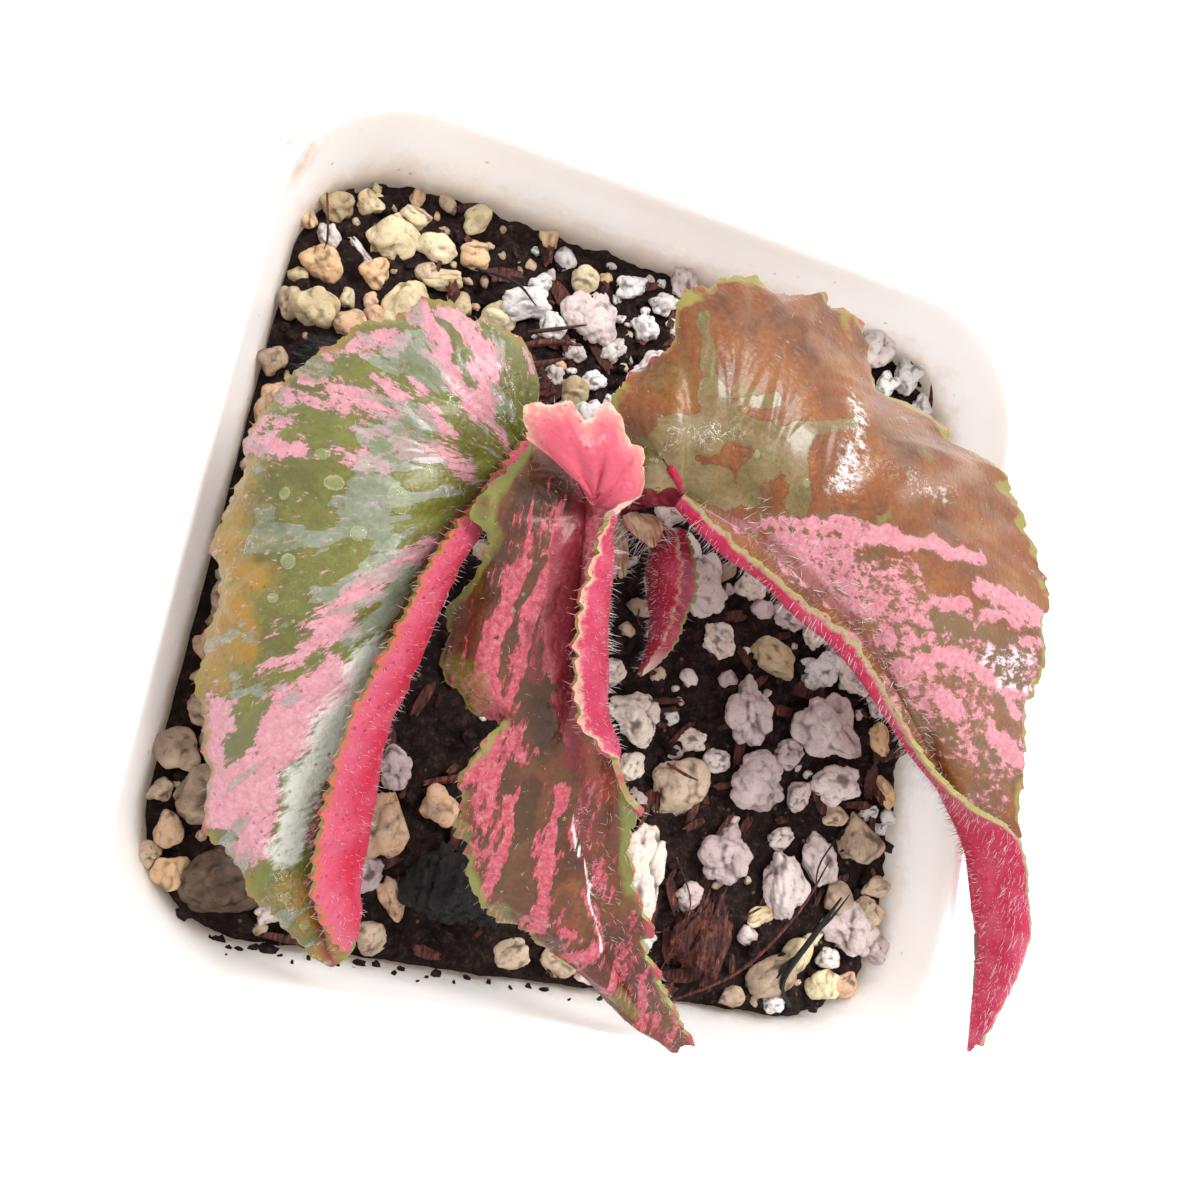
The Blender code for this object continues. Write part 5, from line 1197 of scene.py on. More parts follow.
def stone_model(kind, number, detail):
    """A ball pushed and pressed into a stone: lumps, popcorn bulges, pits and a few flat sides."""
    lump, lump_rate, bulge, bulge_rate, pit, pit_rate, flats, grain = STONE_SHAPES[kind]
    rng = np.random.default_rng(100 * number + sum(map(ord, kind)))
    stone = start_shape(bpy.ops.mesh.primitive_ico_sphere_add, subdivisions=detail, radius=1)
    seed = Vector(rng.uniform(-50, 50, 3))
    points = points_of(stone)
    pits = np.zeros(len(points))
    for i, point in enumerate(points):
        way = Vector(point)
        stretched = Vector((way.x, way.y * grain, way.z))
        out = 1 + lump * noise.noise(way * lump_rate + seed) * 1.6
        near = noise.voronoi(stretched * bulge_rate + seed)[0]
        out += bulge * (1.1 - 2.2 * min(near[0], 1.0) ** 2)
        pits[i] = min(1.0, max(0.0, (near[0] - 0.42) * 2.4))
        out += 0.45 * bulge * noise.fractal(stretched * bulge_rate * 2.3 + seed, 0.9, 2.0, 3)
        hole = noise.voronoi(stretched * pit_rate - seed)[0][0]
        out -= pit * max(0.0, 1 - hole * 2.6)
        pits[i] = max(pits[i], 1 - hole * 2.4)
        points[i] = point * out
    for _ in range(flats):
        way = rng.normal(0, 1, 3)
        way /= np.linalg.norm(way)
        over = np.maximum(points @ way - rng.uniform(0.62, 0.82), 0)
        points -= over[:, None] * way * 0.88
    if grain < 1:
        for i, (x, y, z) in enumerate(points):
            strand = noise.noise(Vector((x * 7, y * 0.7, z * 7)) + seed)
            strand += 0.6 * noise.noise(Vector((x * 17, y * 1.6, z * 17)) + seed)
            torn = 1.5 * noise.noise(Vector((x * 9, 3, z * 9)) + seed) * max(0.0, abs(y) - 0.45)
            points[i] = (x * (1 + 0.12 * strand), y * (1 + torn), z * (1 + 0.3 * strand))
    points /= np.abs(points).max(axis=0)
    move_points(stone, points)
    store(stone, "pit", pits)
    stone.data.name = f"{kind}_model"
    return stone


def place_stones(kind, finish, rng):
    """Copies of a kind's model stones at their places, joined to one piece."""
    big = [stone_model(kind, number, 5) for number in range(STONE_MODELS if kind in STONES else 0)]
    small = [stone_model(kind, number + 20, 4) for number in range(STONE_MODELS if kind in GRAINS else 0)]
    jobs = [(place, big) for place in STONES.get(kind, ())]
    for x, y, length, width, turn in GRAINS.get(kind, ()):
        height = 0.82 * min(length, width) + 0.3
        jobs.append(((x, y, length, width, height, turn), small))
    specks = [stone_model(kind, number + 40, 2) for number in range(STONE_MODELS if kind in SPECKS else 0)]
    for x, y, length, width, turn in SPECKS.get(kind, ()):
        jobs.append(((x, y, length, width, 0.8 * width, turn), specks))
    copies = []
    for number, ((x, y, length, width, height, turn), models) in enumerate(jobs):
        model = models[number % len(models)]
        stone = model.copy()
        stone.data = model.data.copy()
        bpy.context.scene.collection.objects.link(stone)
        tumble = Matrix.Rotation(rng.integers(4) * math.pi / 2, 4, "Z")
        swell = STONE_SWELL.get(kind, 1.0) if models is not specks else 1.0
        size = Matrix.Diagonal((swell * length / 2, swell * width / 2, height / 2, 1))
        base = SOIL_TOP - SOIL_TILT * y + height * STONE_RISE
        if models is not big:
            base = soil_level(x, y) + height * 0.3
        place = Matrix.Translation((x, y, base)) @ Matrix.Rotation(math.radians(turn), 4, "Z") @ size @ tumble
        stone.data.transform(Matrix.Scale(MM, 4) @ place)
        store(stone, "tone", np.full(len(stone.data.vertices), rng.uniform()))
        copies.append(stone)
    for model in big + small + specks:
        bpy.data.objects.remove(model)
    piece = join(copies)
    hold_inside(piece)
    smooth(piece, 70)
    replaced = [f"{kind}_{n}" for n in range(1, len(STONES.get(kind, ())) + 1)]
    if len(replaced) == 1:
        replaced = [kind]
    return settle(piece, kind + "_grains", [finish], replaced)


def make_pot(finish):
    """A plane with round corners, drawn up into the wall, over the rim and down inside."""
    pot = start_shape(bpy.ops.mesh.primitive_plane_add, size=2 * POT_FOOT_HALF * MM)
    open_mesh()
    bpy.ops.mesh.bevel(offset=POT_FOOT_RADIUS * MM, segments=POT_CORNER_SEGMENTS, affect="VERTICES")
    height, half = 0.0, POT_FOOT_HALF
    for next_height, next_half in POT_PROFILE:
        bpy.ops.mesh.extrude_region_move(TRANSFORM_OT_translate={"value": (0, 0, (next_height - height) * MM)})
        scale = next_half / half
        bpy.ops.transform.resize(value=(scale, scale, 1), center_override=(0, 0, next_height * MM))
        height, half = next_height, next_half
    bpy.ops.mesh.select_all(action="SELECT")
    close_mesh()
    drills = []
    for x, y in ((1, 1), (-1, 1), (-1, -1), (1, -1)):
        bpy.ops.mesh.primitive_cylinder_add(vertices=32, radius=DRAIN_RADIUS * MM, depth=DRILL_LENGTH * MM,
                                            location=(x * DRAIN_REACH * MM, y * DRAIN_REACH * MM, 0))
        drills.append(bpy.context.object)
    drill = join(drills)
    pick(pot)
    holes = pot.modifiers.new("drain_holes", "BOOLEAN")
    holes.operation = "DIFFERENCE"
    holes.object = drill
    holes.solver = "EXACT"
    bpy.ops.object.modifier_apply(modifier="drain_holes")
    bpy.data.objects.remove(drill)
    smooth(pot, 35)
    return settle(pot, "pot_shell", [finish], ("pot",))


def tube(path, radii, sides=10, steps_between=6):
    """A round tapering tube through a few points, drawn as a curve and turned to a mesh."""
    curve = bpy.data.curves.new("tube", "CURVE")
    curve.dimensions = "3D"
    curve.bevel_depth = MM
    curve.bevel_resolution = max((sides - 4) // 2, 0)
    curve.use_fill_caps = True
    steps = np.linspace(0, len(path) - 1, steps_between * (len(path) - 1) + 1)
    points = smooth_curve(path, steps)
    spline = curve.splines.new("POLY")
    spline.points.add(len(points) - 1)
    for target, point, step in zip(spline.points, points, steps):
        target.co = (*(point * MM), 1.0)
        target.radius = float(np.interp(step, range(len(path)), radii))
    made = bpy.data.objects.new("tube", curve)
    bpy.context.scene.collection.objects.link(made)
    pick(made)
    bpy.ops.object.convert(target="MESH")
    made = bpy.context.object
    pick(made)
    open_mesh()
    bpy.ops.mesh.remove_doubles(threshold=0.004 * MM)
    close_mesh()
    return made


def make_stem(finish):
    """The rhizome and the four petioles."""
    pieces = [tube(STEM_PATH, STEM_RADII, 20, 12)]
    for path, radius in PETIOLES:
        pieces.append(tube(path, [radius * 1.1] + [radius] * (len(path) - 2) + [radius * 0.95], 14, 8))
    stem = join(pieces)
    smooth(stem, 60)
    return settle(stem, "stem_and_petioles", [finish], ("stem",))


def fill_gaps(rng):
    """Small grains scattered wherever the bigger ones leave room, sorted by what lies round them."""
    taken = [(x, y, max(length, width) / 2) for rows in STONES.values() for x, y, length, width, *_ in rows]
    taken += [(x, y, max(length, width) / 2) for rows in GRAINS.values() for x, y, length, width, _ in rows]
    taken.append((*STEM_PATH[0][:2], STEM_ROOM))
    limit = inner_half(SOIL_TOP) - 1.4
    for least, most, tries in GAP_GRAINS:
        for _ in range(tries):
            x, y = rng.uniform(-limit, limit, 2)
            size = rng.uniform(least, most)
            if past_corner(x, y, limit, 7, 9):
                continue
            bare = any((x - bx)**2 + (y - by)**2 < reach**2 for bx, by, reach in BARE_SOIL)
            if (bare and (least > 1 or rng.uniform() < 0.5)) or (x > -22 and y < 12 and rng.uniform() < 0.9):
                continue
            if any((x - tx)**2 + (y - ty)**2 < (reach * 0.84 + size * 0.38)**2 for tx, ty, reach in taken):
                continue
            taken.append((x, y, size / 2))
            kinds, shares = ("pumice_lilac", "pebble_beige", "perlite"), (0.55, 0.22, 0.23)
            if x < -22 or (y > 15 and x < -14):
                kinds, shares = ("pebble_cream", "pebble_beige"), (0.45, 0.55)
            if y > 17 and x > -14:
                kinds, shares = ("perlite", "pumice_lilac", "pebble_cream"), (0.55, 0.3, 0.15)
            if y < -24 and x > 18:
                kinds, shares = ("pebble_cream", "pebble_beige", "pumice_lilac"), (0.35, 0.4, 0.25)
            kind = kinds[rng.choice(len(kinds), p=shares)]
            (SPECKS if size < SPECK_SIZE else GRAINS).setdefault(kind, []).append(
                (x, y, size, size * rng.uniform(0.65, 0.95), rng.uniform(0, 180)))


def crumb_model():
    """A small ball roughly broken."""
    crumb = start_shape(bpy.ops.mesh.primitive_ico_sphere_add, subdivisions=2, radius=0.5)
    points = points_of(crumb)
    points *= np.array([1 + 0.9 * noise.noise(Vector(p) * 2.3) for p in points])[:, None]
    move_points(crumb, points * (1, 1, 0.7))
    return crumb


def scatter(rng, count, left):
    """Places on the mix, inside the pot's round corners."""
    places = []
    limit = inner_half(SOIL_TOP) - 1.2
    while len(places) < count:
        x, y = rng.uniform(left, limit), rng.uniform(-limit, limit)
        if not past_corner(x, y, limit, 8, 8):
            places.append((x, y))
    return places


def scatter_crumbs(name, finish, places, smoothness):
    """Rough crumbs as one piece. Each place is a spot in millimetres, a turn and a stretch."""
    crumb = crumb_model()
    matrices = [Matrix.Scale(MM, 4) @ Matrix.Translation(spot) @ turn @ Matrix.Diagonal((*stretch, 1))
                for spot, turn, stretch in places]
    piece = bury(crumb, matrices, name)
    hold_inside(piece)
    bpy.data.objects.remove(crumb)
    smooth(piece, smoothness)
    settle(piece, name, [finish])


def tossed(rng, tilt, axis):
    """A turn any way round, tilted a little about one axis."""
    return Matrix.Rotation(rng.uniform(0, 6.3), 4, "Z") @ Matrix.Rotation(rng.uniform(-tilt, tilt), 4, axis)


def make_crumbs(finish, rng):
    """Crumbs of the mix over its surface and a few on the wall."""
    spots = []
    for x, y in scatter(rng, CRUMB_COUNT, -36.0):
        size = rng.uniform(0.35, 1.0) ** 1.5 * 1.7
        spots.append(((x, y, soil_level(x, y) + 0.35 + size * 0.15), size))
    for along_wall, rise, size in WALL_CRUMBS:
        z = SOIL_TOP + 1.2 + rise
        spots.append(((along_wall, -inner_half(z) + 0.15, z), size))
    places = [(spot, tossed(rng, 0.7, "X"), (size, size * rng.uniform(0.45, 1.0), size * rng.uniform(0.5, 0.9)))
              for spot, size in spots]
    scatter_crumbs("soil_crumbs", finish, places, 50)


def make_shreds(finish, rng):
    """Torn brown shreds of bark lying among the stones."""
    places = []
    for x, y in scatter(rng, SHRED_COUNT, -24.0):
        length = rng.uniform(0.8, 4.2)
        turn = tossed(rng, 0.5, "Y")
        stretch = (length, 0.25 + length * rng.uniform(0.08, 0.35), rng.uniform(0.3, 0.8))
        places.append(((x, y, soil_level(x, y) + 0.7), turn, stretch))
    scatter_crumbs("bark_shreds", finish, places, 40)


# Twigs, roots and fibres that lie on the surface: points and radius, and whether they are black
DEBRIS = [
    ([(12.5, -37, 69), (19.5, -32.5, 70.6), (24.5, -26, 71.2), (27.5, -20.5, 70.5)], 0.16, False),
    ([(27, -35.5, 68), (25, -33, 69.4), (27, -28, 70.6), (29.5, -24, 70.4)], 0.26, True),
    ([(24, -34, 68.6), (25, -31.5, 69.4), (25.6, -30.5, 69.8)], 0.18, True),
    ([(27, -28, 70.6), (28.4, -26, 71), (30, -23.5, 71)], 0.14, True),
    ([(8, -14.5, 71), (9.8, -15.2, 71.6), (11.5, -15.5, 71)], 0.15, False),
    ([(11, -23, 70.4), (13, -27, 71), (12.4, -31, 70.4), (11.5, -34.5, 69.4)], 0.07, False),
    ([(28, -18.5, 70), (26, -21.5, 71), (26.5, -25, 70.6)], 0.09, True),
    ([(3.5, 0, 67.4), (3.5, -1.5, 68.2), (6, -2.5, 67.6)], 0.1, False),
    ([(-35, 30.5, 69), (-34, 26, 70.4), (-34, 25, 69.4)], 0.1, False),
    ([(-14.5, 22, 68.2), (-11.5, 23.4, 68.8), (-8.2, 24.2, 68.6)], 0.34, False),
    ([(-15, 19.6, 68.2), (-12, 20.8, 69.2), (-9.6, 22.2, 69)], 0.3, False),
    ([(-13.6, 24, 68), (-11, 25, 68.6), (-8, 26.6, 68.2)], 0.2, False),
    ([(-20, 28.6, 68), (-16, 28.2, 68.8), (-13.4, 26.8, 68.2)], 0.16, True),
    ([(0.5, 20.5, 68), (2.4, 23, 69), (3, 26, 68)], 0.12, True),
]


def make_debris(brown, black):
    """Thin tapering twigs and fibres."""
    for name, finish, dark in (("twigs_and_fibres", brown, False), ("black_roots", black, True)):
        pieces = [tube(path, [radius] + [radius * 1.15] * (len(path) - 2) + [radius * 0.4], 6, 5)
                  for path, radius, is_black in DEBRIS if is_black == dark]
        piece = join(pieces)
        smooth(piece, 60)
        settle(piece, name, [finish])


def make_drops(name, half, rng):
    """Fine drops of mist that sit on the upper side, seated a little into it."""
    drop = start_shape(bpy.ops.mesh.primitive_uv_sphere_add, segments=9, ring_count=6, radius=0.5)
    points = points_of(drop)
    points[:, 2] = np.where(points[:, 2] < 0, points[:, 2] * 0.3, points[:, 2] * 0.7)
    move_points(drop, points)
    grid, normal = half["grid"], half["normal"]
    columns, rows = grid.shape[:2]
    matrices = []
    spots = [(rng.integers(3, columns - 3), rng.integers(4, rows - 3), 0.15 + 0.4 * rng.uniform() ** 3, 0.8)
             for _ in range(DROPS[name])]
    for x, y, size in PUDDLES.get(name, ()):
        away = np.hypot(grid[:, :, 0] - x, grid[:, :, 1] - y)
        spots.append((*np.unravel_index(away.argmin(), away.shape), size, 0.38))
    for column, row, size, tall in spots:
        up = normal[column, row]
        turn = Vector(up).to_track_quat("Z", "X").to_matrix().to_4x4()
        seat = grid[column, row] + up * LEAF_THICKNESS / 2
        stretch = Matrix.Diagonal((size, size * rng.uniform(0.7, 1.1), size * tall, 1))
        matrices.append(Matrix.Scale(MM, 4) @ Matrix.Translation(seat) @ turn @ stretch)
    piece = bury(drop, matrices, name + "_drops")
    bpy.data.objects.remove(drop)
    smooth(piece, 80)
    settle(piece, name + "_drops", [mist_water()])


# Materials. Each starts from the real substance.

def stray(add, mark, grain, amount):
    """A mark whose border wanders with a noise."""
    return add("Math.MULTIPLY_ADD", add("Math.SUBTRACT", grain, 0.5), amount, mark)


def lay(add, under, over, share, strength):
    """One colour laid over another where share says, as strongly as strength says."""
    return add("MixRGB", add("Math.MULTIPLY", share, strength), under, over)


# Leaf colours: greens from dark to light, amber ground, pinks from deep to pale, film (a painted reflection
# of the sky), vein, margin; then how the patterns break up, and how strongly the painted sheen shows
LEAF_LOOKS = {
    "leaf_left": dict(
        green=("#69652A", "#7B7932", "#8E8C3E"), amber="#BC8C2C", pink=("#E2959E", "#F0A6B2", "#F5B8BF"),
        film=("#848F60", "#9AA697", "#B4BEB4"), vein="#8C9A4C", margin="#A48C34", fleck=0.04, gain=6, fine=0.55,
        among="#7E7A50", lobes=0.8, film_spread=4.5, film_depth=0.3, relief=0.05, film_edge=0.08, brink=0.35,
        sheen_break=2.2, sheen=0.62,
    ),
    "leaf_middle": dict(
        green=("#4E2414", "#743E1C", "#84642A"), amber="#B4562C", pink=("#BE3F50", "#DC5F70", "#EB8C92"),
        film=("#6E7430", "#8C9A48", "#A0AC60"), vein="#A8483C", margin="#9AA04A", fleck=0.06, gain=5, fine=0.6,
        among="#5A3C20", lobes=1.6, film_spread=1.6, film_depth=0.12, relief=0.05, film_edge=0.35, brink=0,
        sheen_break=3.5, sheen=0.8,
    ),
    "leaf_right": dict(
        green=("#6E380A", "#964E0E", "#AA681E"), amber="#8E7C30", pink=("#DC808A", "#EA96A2", "#F3AEB8"),
        film=("#6C6636", "#89814F", "#A49A7A"), vein="#86703C", margin="#A9A24A", fleck=0, gain=3.4, fine=0.8,
        among="#7C6A48", lobes=2, film_spread=1.7, film_depth=0.42, relief=0.04, film_edge=0.06, brink=0.75,
        sheen_break=6, sheen=0.6,
    ),
}


def leaf_upper(name):
    """Living begonia leaf, misted: pigment patches in watery cells under a waxy skin, with films of water.

    The eye sees crisp ragged patches that run out along the veins, a fine net of veinlets, puffed cells
    that glint, and films where water lies, whose greyish colour is a painted reflection of the sky; a
    painted sheen and painted glints lie over them. The cells are drawn about twice their real size.
    """
    look = LEAF_LOOKS[name]
    made, add, coords = new_material("misted_leaf_" + name.split("_")[1])
    blade = add("UVMap", uv_map="UVMap")
    drawn = add("Mapping", blade, Scale=(MM, 0.45 * MM, MM))
    if name != "leaf_left":
        stretch = (1, 0.18, 0.5) if name == "leaf_middle" else (0.6, 1, 1)
        drawn = add("Mapping", coords, Scale=stretch)
    mark = {key: add("Attribute." + key, out="Fac") for key in PAINTS + SHAPE_MARKS}
    large = add("TexNoise", coords, size=5.0, Detail=4.0)
    coarse = add("TexNoise", drawn, size=2.6, Detail=2.0)
    fine = add("TexNoise", drawn, size=look["fine"], Detail=8.0, Roughness=0.72)
    fleck = add("Math.MULTIPLY_ADD", coarse, 0.25, add("Math.MULTIPLY", fine, 0.75))
    grain = add("TexNoise", coords, size=0.5, Detail=5.0, Roughness=0.7)
    net = add("TexVoronoi", coords, size=0.8, feature="DISTANCE_TO_EDGE", out="Distance")
    cell = add("TexVoronoi", coords, size=0.3, out="Distance")
    # ground
    body = add("Math.MULTIPLY_ADD", large, 0.65, add("Math.MULTIPLY", grain, 0.35))
    greens = add("ValToRGB", body, stops=list(zip((0.36, 0.5, 0.64), look["green"])))
    ground = add("MixRGB", add("MapRange", add("Math.MULTIPLY_ADD", mark["amber"], 0.8, grain), 0.62, 1.35),
                 greens, look["amber"])
    ground = lay(add, ground, look["vein"], mark["vein"], 0.35)
    shade = add("MapRange", add("Math.MULTIPLY_ADD", mark["shade"], 0.7, fleck), 0.62, 0.8)
    ground = lay(add, ground, "#43290F", shade, 0.7)
    ground = lay(add, ground, look["among"], add("MapRange", mark["pink"], 0.15, 0.5), 0.7)
    # pink without green pigment
    pinkness = stray(add, mark["pink"], fleck, look["gain"])
    pinkness = add("Math.SUBTRACT", add("Math.ADD", pinkness, look["fleck"]), mark["olive"])
    pinks = add("ValToRGB", grain, stops=list(zip((0.34, 0.5, 0.66), look["pink"])))
    colour = add("MixRGB", add("MapRange", pinkness, 0.5, 0.56), ground, pinks)
    rim_of_pink = add("Math.MULTIPLY", add("MapRange", pinkness, 0.36, 0.5),
                      add("MapRange", pinkness, 0.56, 0.5))
    colour = lay(add, colour, look["pink"][0], rim_of_pink, 0.5)
    if name == "leaf_middle":
        streak = stray(add, mark["crimson"], fleck, 2.0)
        colour = lay(add, colour, "#A02C3C", add("MapRange", streak, 0.45, 0.75), 0.8)
    if name == "leaf_right":
        # painted reflection: a pinkish-tan haze laid where the wet skin reflects the sky
        sky_reflection_haze = stray(add, mark["veil"], fleck, 1.4)
        colour = lay(add, colour, "#BC9A80", add("MapRange", sky_reflection_haze, 0.3, 1.1), 0.42)
        colour = lay(add, colour, "#84743E", mark["hem"], 0.85)
    # veinlets, cells and the margin
    colour = add("MixRGB.MULTIPLY", add("Math.MULTIPLY", add("MapRange", net, 0.08, 0.0), 0.1), colour,
                 look["green"][0])
    lobes = stray(add, mark["edge"], coarse, look["lobes"])
    band = add("MapRange", add("Math.MULTIPLY_ADD", grain, 0.3, lobes), 0.42, 0.2)
    colour = lay(add, colour, look["margin"], band, 0.8)
    colour = add("MixRGB", add("MapRange", mark["tooth"], 0.55, 0.95), colour, "#C8505A")
    colour = lay(add, colour, "#A03038", mark["midrib"], 0.8)
    colour = add("MixRGB", mark["fan"], colour, coral_lobe(add, coords))
    # water film, its colour a painted reflection of the sky, and a painted sheen beside the fold
    spread = stray(add, mark["film"], coarse, look["film_spread"])
    spread = stray(add, spread, fine, 0.9)
    wet = add("MapRange", spread, 0.42, 0.42 + look["film_edge"])
    brink = add("Math.MULTIPLY", add("MapRange", spread, 0.34, 0.42), add("MapRange", spread, 0.46, 0.42))
    colour = lay(add, colour, look["green"][0], brink, look["brink"])
    painted_sky_reflection = add("ValToRGB", body, stops=list(zip((0.38, 0.5, 0.62), look["film"])))
    colour = lay(add, colour, painted_sky_reflection, wet, add("Math.MULTIPLY_ADD", coarse, 0.5, look["film_depth"]))
    # painted sheen: a whitish highlight laid over the dimmed pigment where the wet skin reflects the sky
    shine = add("MapRange", stray(add, mark["sheen"], fine, look["sheen_break"]), 0.4, 0.85)
    shine = add("Math.MULTIPLY", shine, add("MapRange", mark["sheen"], 0.05, 0.4))
    colour = lay(add, add("MixRGB.MULTIPLY", 1.0, colour, LIGHT_SHARE),
                 "#D8DCE2" if name == "leaf_right" else "#DEDDD6", shine, look["sheen"])
    # painted glints: thin white curling lines where the water on the skin catches the light
    curl = add("TexNoise", coords, size=1.1, Detail=3.0, Roughness=0.6, Distortion=1.2)
    lace = add("MapRange", add("Math.ABSOLUTE", add("Math.SUBTRACT", curl, 0.5)), 0.013, 0.002)
    lit = add("Math.MULTIPLY", add("MapRange", mark["glint"], 0.4, 1.0), add("MapRange", coarse, 0.42, 0.6))
    colour = lay(add, colour, "#FFFFFF", lace, lit)
    dots = add("MapRange", add("TexVoronoi", coords, size=1.2, out="Distance"), 0.14, 0.09)
    colour = lay(add, colour, "#7A2C2C", dots, 0.55)
    gloss = add("Math.SUBTRACT", add("Math.MULTIPLY_ADD", grain, 0.35, 0.24), add("Math.MULTIPLY", wet, 0.14))
    puffed = add("Math.MULTIPLY_ADD", add("MapRange", net, 0.0, 0.35), 0.7, add("Math.MULTIPLY", cell, -0.35))
    dry = add("Math.SUBTRACT", 1.0, add("Math.MULTIPLY", wet, 0.75))
    height = add("Math.MULTIPLY", add("Math.MULTIPLY_ADD", grain, 0.3, puffed), dry)
    return set_shader(made, Base_Color=colour, Roughness=gloss, IOR=1.4, Coat_Weight=0.25, Coat_Roughness=0.09,
                      Coat_IOR=1.33, Normal=add("Bump", Height=height, Distance=look["relief"] * MM))


def coral_lobe(add, coords):
    """The turned-over lobe at the middle leaf's foot: peach at its margin, coral inside."""
    grain = add("TexNoise", coords, size=0.7, Detail=5.0, Roughness=0.65)
    far = stray(add, add("Attribute.edge", out="Fac"), grain, 0.9)
    return add("ValToRGB", far, stops=[(0.0, "#F8D4BC"), (0.1, "#F4AC98"), (0.3, "#F08488"), (0.75, "#EA5C74")])


def leaf_under(name, margin, middle, fold, brim):
    """Velvety underside of a begonia leaf, red with anthocyanin: matt, with a soft fuzz and darker pores.

    The eye sees it pale and ragged at the margin and saturated towards the fold.
    """
    made, add, coords = new_material("velvet_underside_" + name)
    grain = add("TexNoise", coords, size=0.7, Detail=5.0, Roughness=0.65)
    far = stray(add, add("Attribute.edge", out="Fac"), grain, 0.2 if name == "right" else 0.5)
    strip = add("ValToRGB", far, stops=[(0.0, margin), (brim, margin), (brim + 0.1, middle), (0.9, fold)])
    colour = add("MixRGB", add("Attribute.fan", out="Fac"), strip, coral_lobe(add, coords))
    drift = add("TexNoise", coords, size=2.4, Detail=4.0)
    colour = lay(add, colour, "#F07896", add("MapRange", drift, 0.45, 0.68), 0.4)
    dots = add("MapRange", add("TexVoronoi", coords, size=1.0, out="Distance"), 0.19, 0.13)
    colour = lay(add, colour, "#8E0C34", dots, 0.55)
    pores = add("TexVoronoi", coords, size=0.42, out="Distance")
    colour = lay(add, colour, "#A01038", add("MapRange", pores, 0.26, 0.12), 0.4)
    colour = lay(add, colour, "#B81840", add("Attribute.vein", out="Fac"), 0.3)
    return set_shader(made, Base_Color=add("MixRGB.MULTIPLY", 1.0, colour, LIGHT_SHARE), Roughness=0.55,
                      IOR=1.4, Sheen_Weight=0.08, Sheen_Roughness=0.4,
                      Normal=add("Bump", Height=add("Math.MULTIPLY_ADD", pores, 0.6, grain),
                                 Distance=0.12 * MM))


def leaf_rim(name, colours):
    """The leaf's own thickness seen at its margin: thin watery tissue, brighter than the blade."""
    made, add, coords = new_material("leaf_margin_" + name)
    grain = add("TexNoise", coords, size=1.2, Detail=4.0)
    colour = add("ValToRGB", grain, stops=list(zip((0.35, 0.5, 0.62), colours)))
    colour = lay(add, colour, "#CC4656", add("MapRange", add("Attribute.tooth", out="Fac"), 0.5, 0.95),
                 0.0 if name == "right" else 0.9)
    colour = add("MixRGB", add("Attribute.fan", out="Fac"), colour, "#F8D0B8")
    return set_shader(made, Base_Color=add("MixRGB.MULTIPLY", 1.0, colour, LIGHT_SHARE), Roughness=0.4,
                      Normal=add("Bump", Height=grain, Distance=0.05 * MM))


def young_leaf_upper():
    """New begonia leaf, still full of red pigment: glossy crimson with a pale line where it is folded."""
    made, add, coords = new_material("young_crimson_leaf")
    grain = add("TexNoise", coords, size=0.8, Detail=5.0)
    colour = add("ValToRGB", grain, stops=[(0.35, "#A40C34"), (0.55, "#C8184A"), (0.7, "#DC4868")])
    colour = add("MixRGB", add("Attribute.midrib", out="Fac"), colour, "#F2B0A8")
    edge = add("MapRange", add("Math.MULTIPLY_ADD", grain, 0.3, add("Attribute.edge", out="Fac")), 0.34, 0.2)
    colour = add("MixRGB", edge, colour, "#8C9C40")
    y = add("SeparateXYZ", coords, out="Y")
    colour = add("MixRGB", add("MapRange", y, -0.005, -0.0068), colour, "#F0CCBC")
    return set_shader(made, Base_Color=add("MixRGB.MULTIPLY", 1.0, colour, LIGHT_SHARE), Roughness=0.36,
                      Subsurface_Weight=0.15, Subsurface_Scale=0.5 * MM,
                      Normal=add("Bump", Height=grain, Distance=0.1 * MM))


def dry_stipule():
    """Papery dried stipule: a buff skin one cell thick, with pink veins that light shines through."""
    made, add, coords = new_material("papery_stipule")
    blade = add("UVMap", uv_map="UVMap")
    drawn = add("Mapping", blade, Scale=(0.1 * MM, MM, MM))
    lines = add("TexNoise", drawn, size=0.22, Detail=3.0)
    grain = add("TexNoise", coords, size=0.9, Detail=5.0)
    colour = add("ValToRGB", grain, stops=[(0.35, "#C8905C"), (0.6, "#EACBA0")])
    colour = lay(add, colour, "#CC5A62", add("MapRange", lines, 0.5, 0.6), 0.8)
    return set_shader(made, Base_Color=add("MixRGB.MULTIPLY", 1.0, colour, LIGHT_SHARE), Roughness=0.4,
                      IOR=1.45, Transmission_Weight=0.12, Normal=add("Bump", Height=lines, Distance=0.08 * MM))


def fleshy_stem():
    """Begonia rhizome and leaf stalks: watery pink-red flesh with pale flecks and a soft shine."""
    made, add, coords = new_material("fleshy_stalk")
    grain = add("TexNoise", coords, size=1.3, Detail=6.0)
    colour = add("ValToRGB", grain, stops=[(0.35, "#8E1E38"), (0.5, "#C4405A"), (0.66, "#DE8A84")])
    flecks = add("TexVoronoi", coords, size=0.7, out="Distance")
    colour = lay(add, colour, "#EFC0B0", add("MapRange", flecks, 0.22, 0.08), 0.5)
    return set_shader(made, Base_Color=add("MixRGB.MULTIPLY", 1.0, colour, LIGHT_SHARE), Roughness=0.42,
                      Subsurface_Weight=0.2, Subsurface_Scale=0.8 * MM,
                      Normal=add("Bump", Height=grain, Distance=0.12 * MM))


def leaf_hair(name, foot, tip):
    """Plant hair: a hollow glassy tube, tinted by the skin at its foot and almost white at its tip."""
    made, add, coords = new_material(name)
    grain = add("TexNoise", coords, size=1.5)
    place = stray(add, add("Attribute.tip", out="Fac"), grain, 0.8)
    colour = add("ValToRGB", place, stops=[(0.0, foot), (0.55, tip)])
    return set_shader(made, Base_Color=add("MixRGB.MULTIPLY", 1.0, colour, LIGHT_SHARE), Roughness=0.3, IOR=1.5)


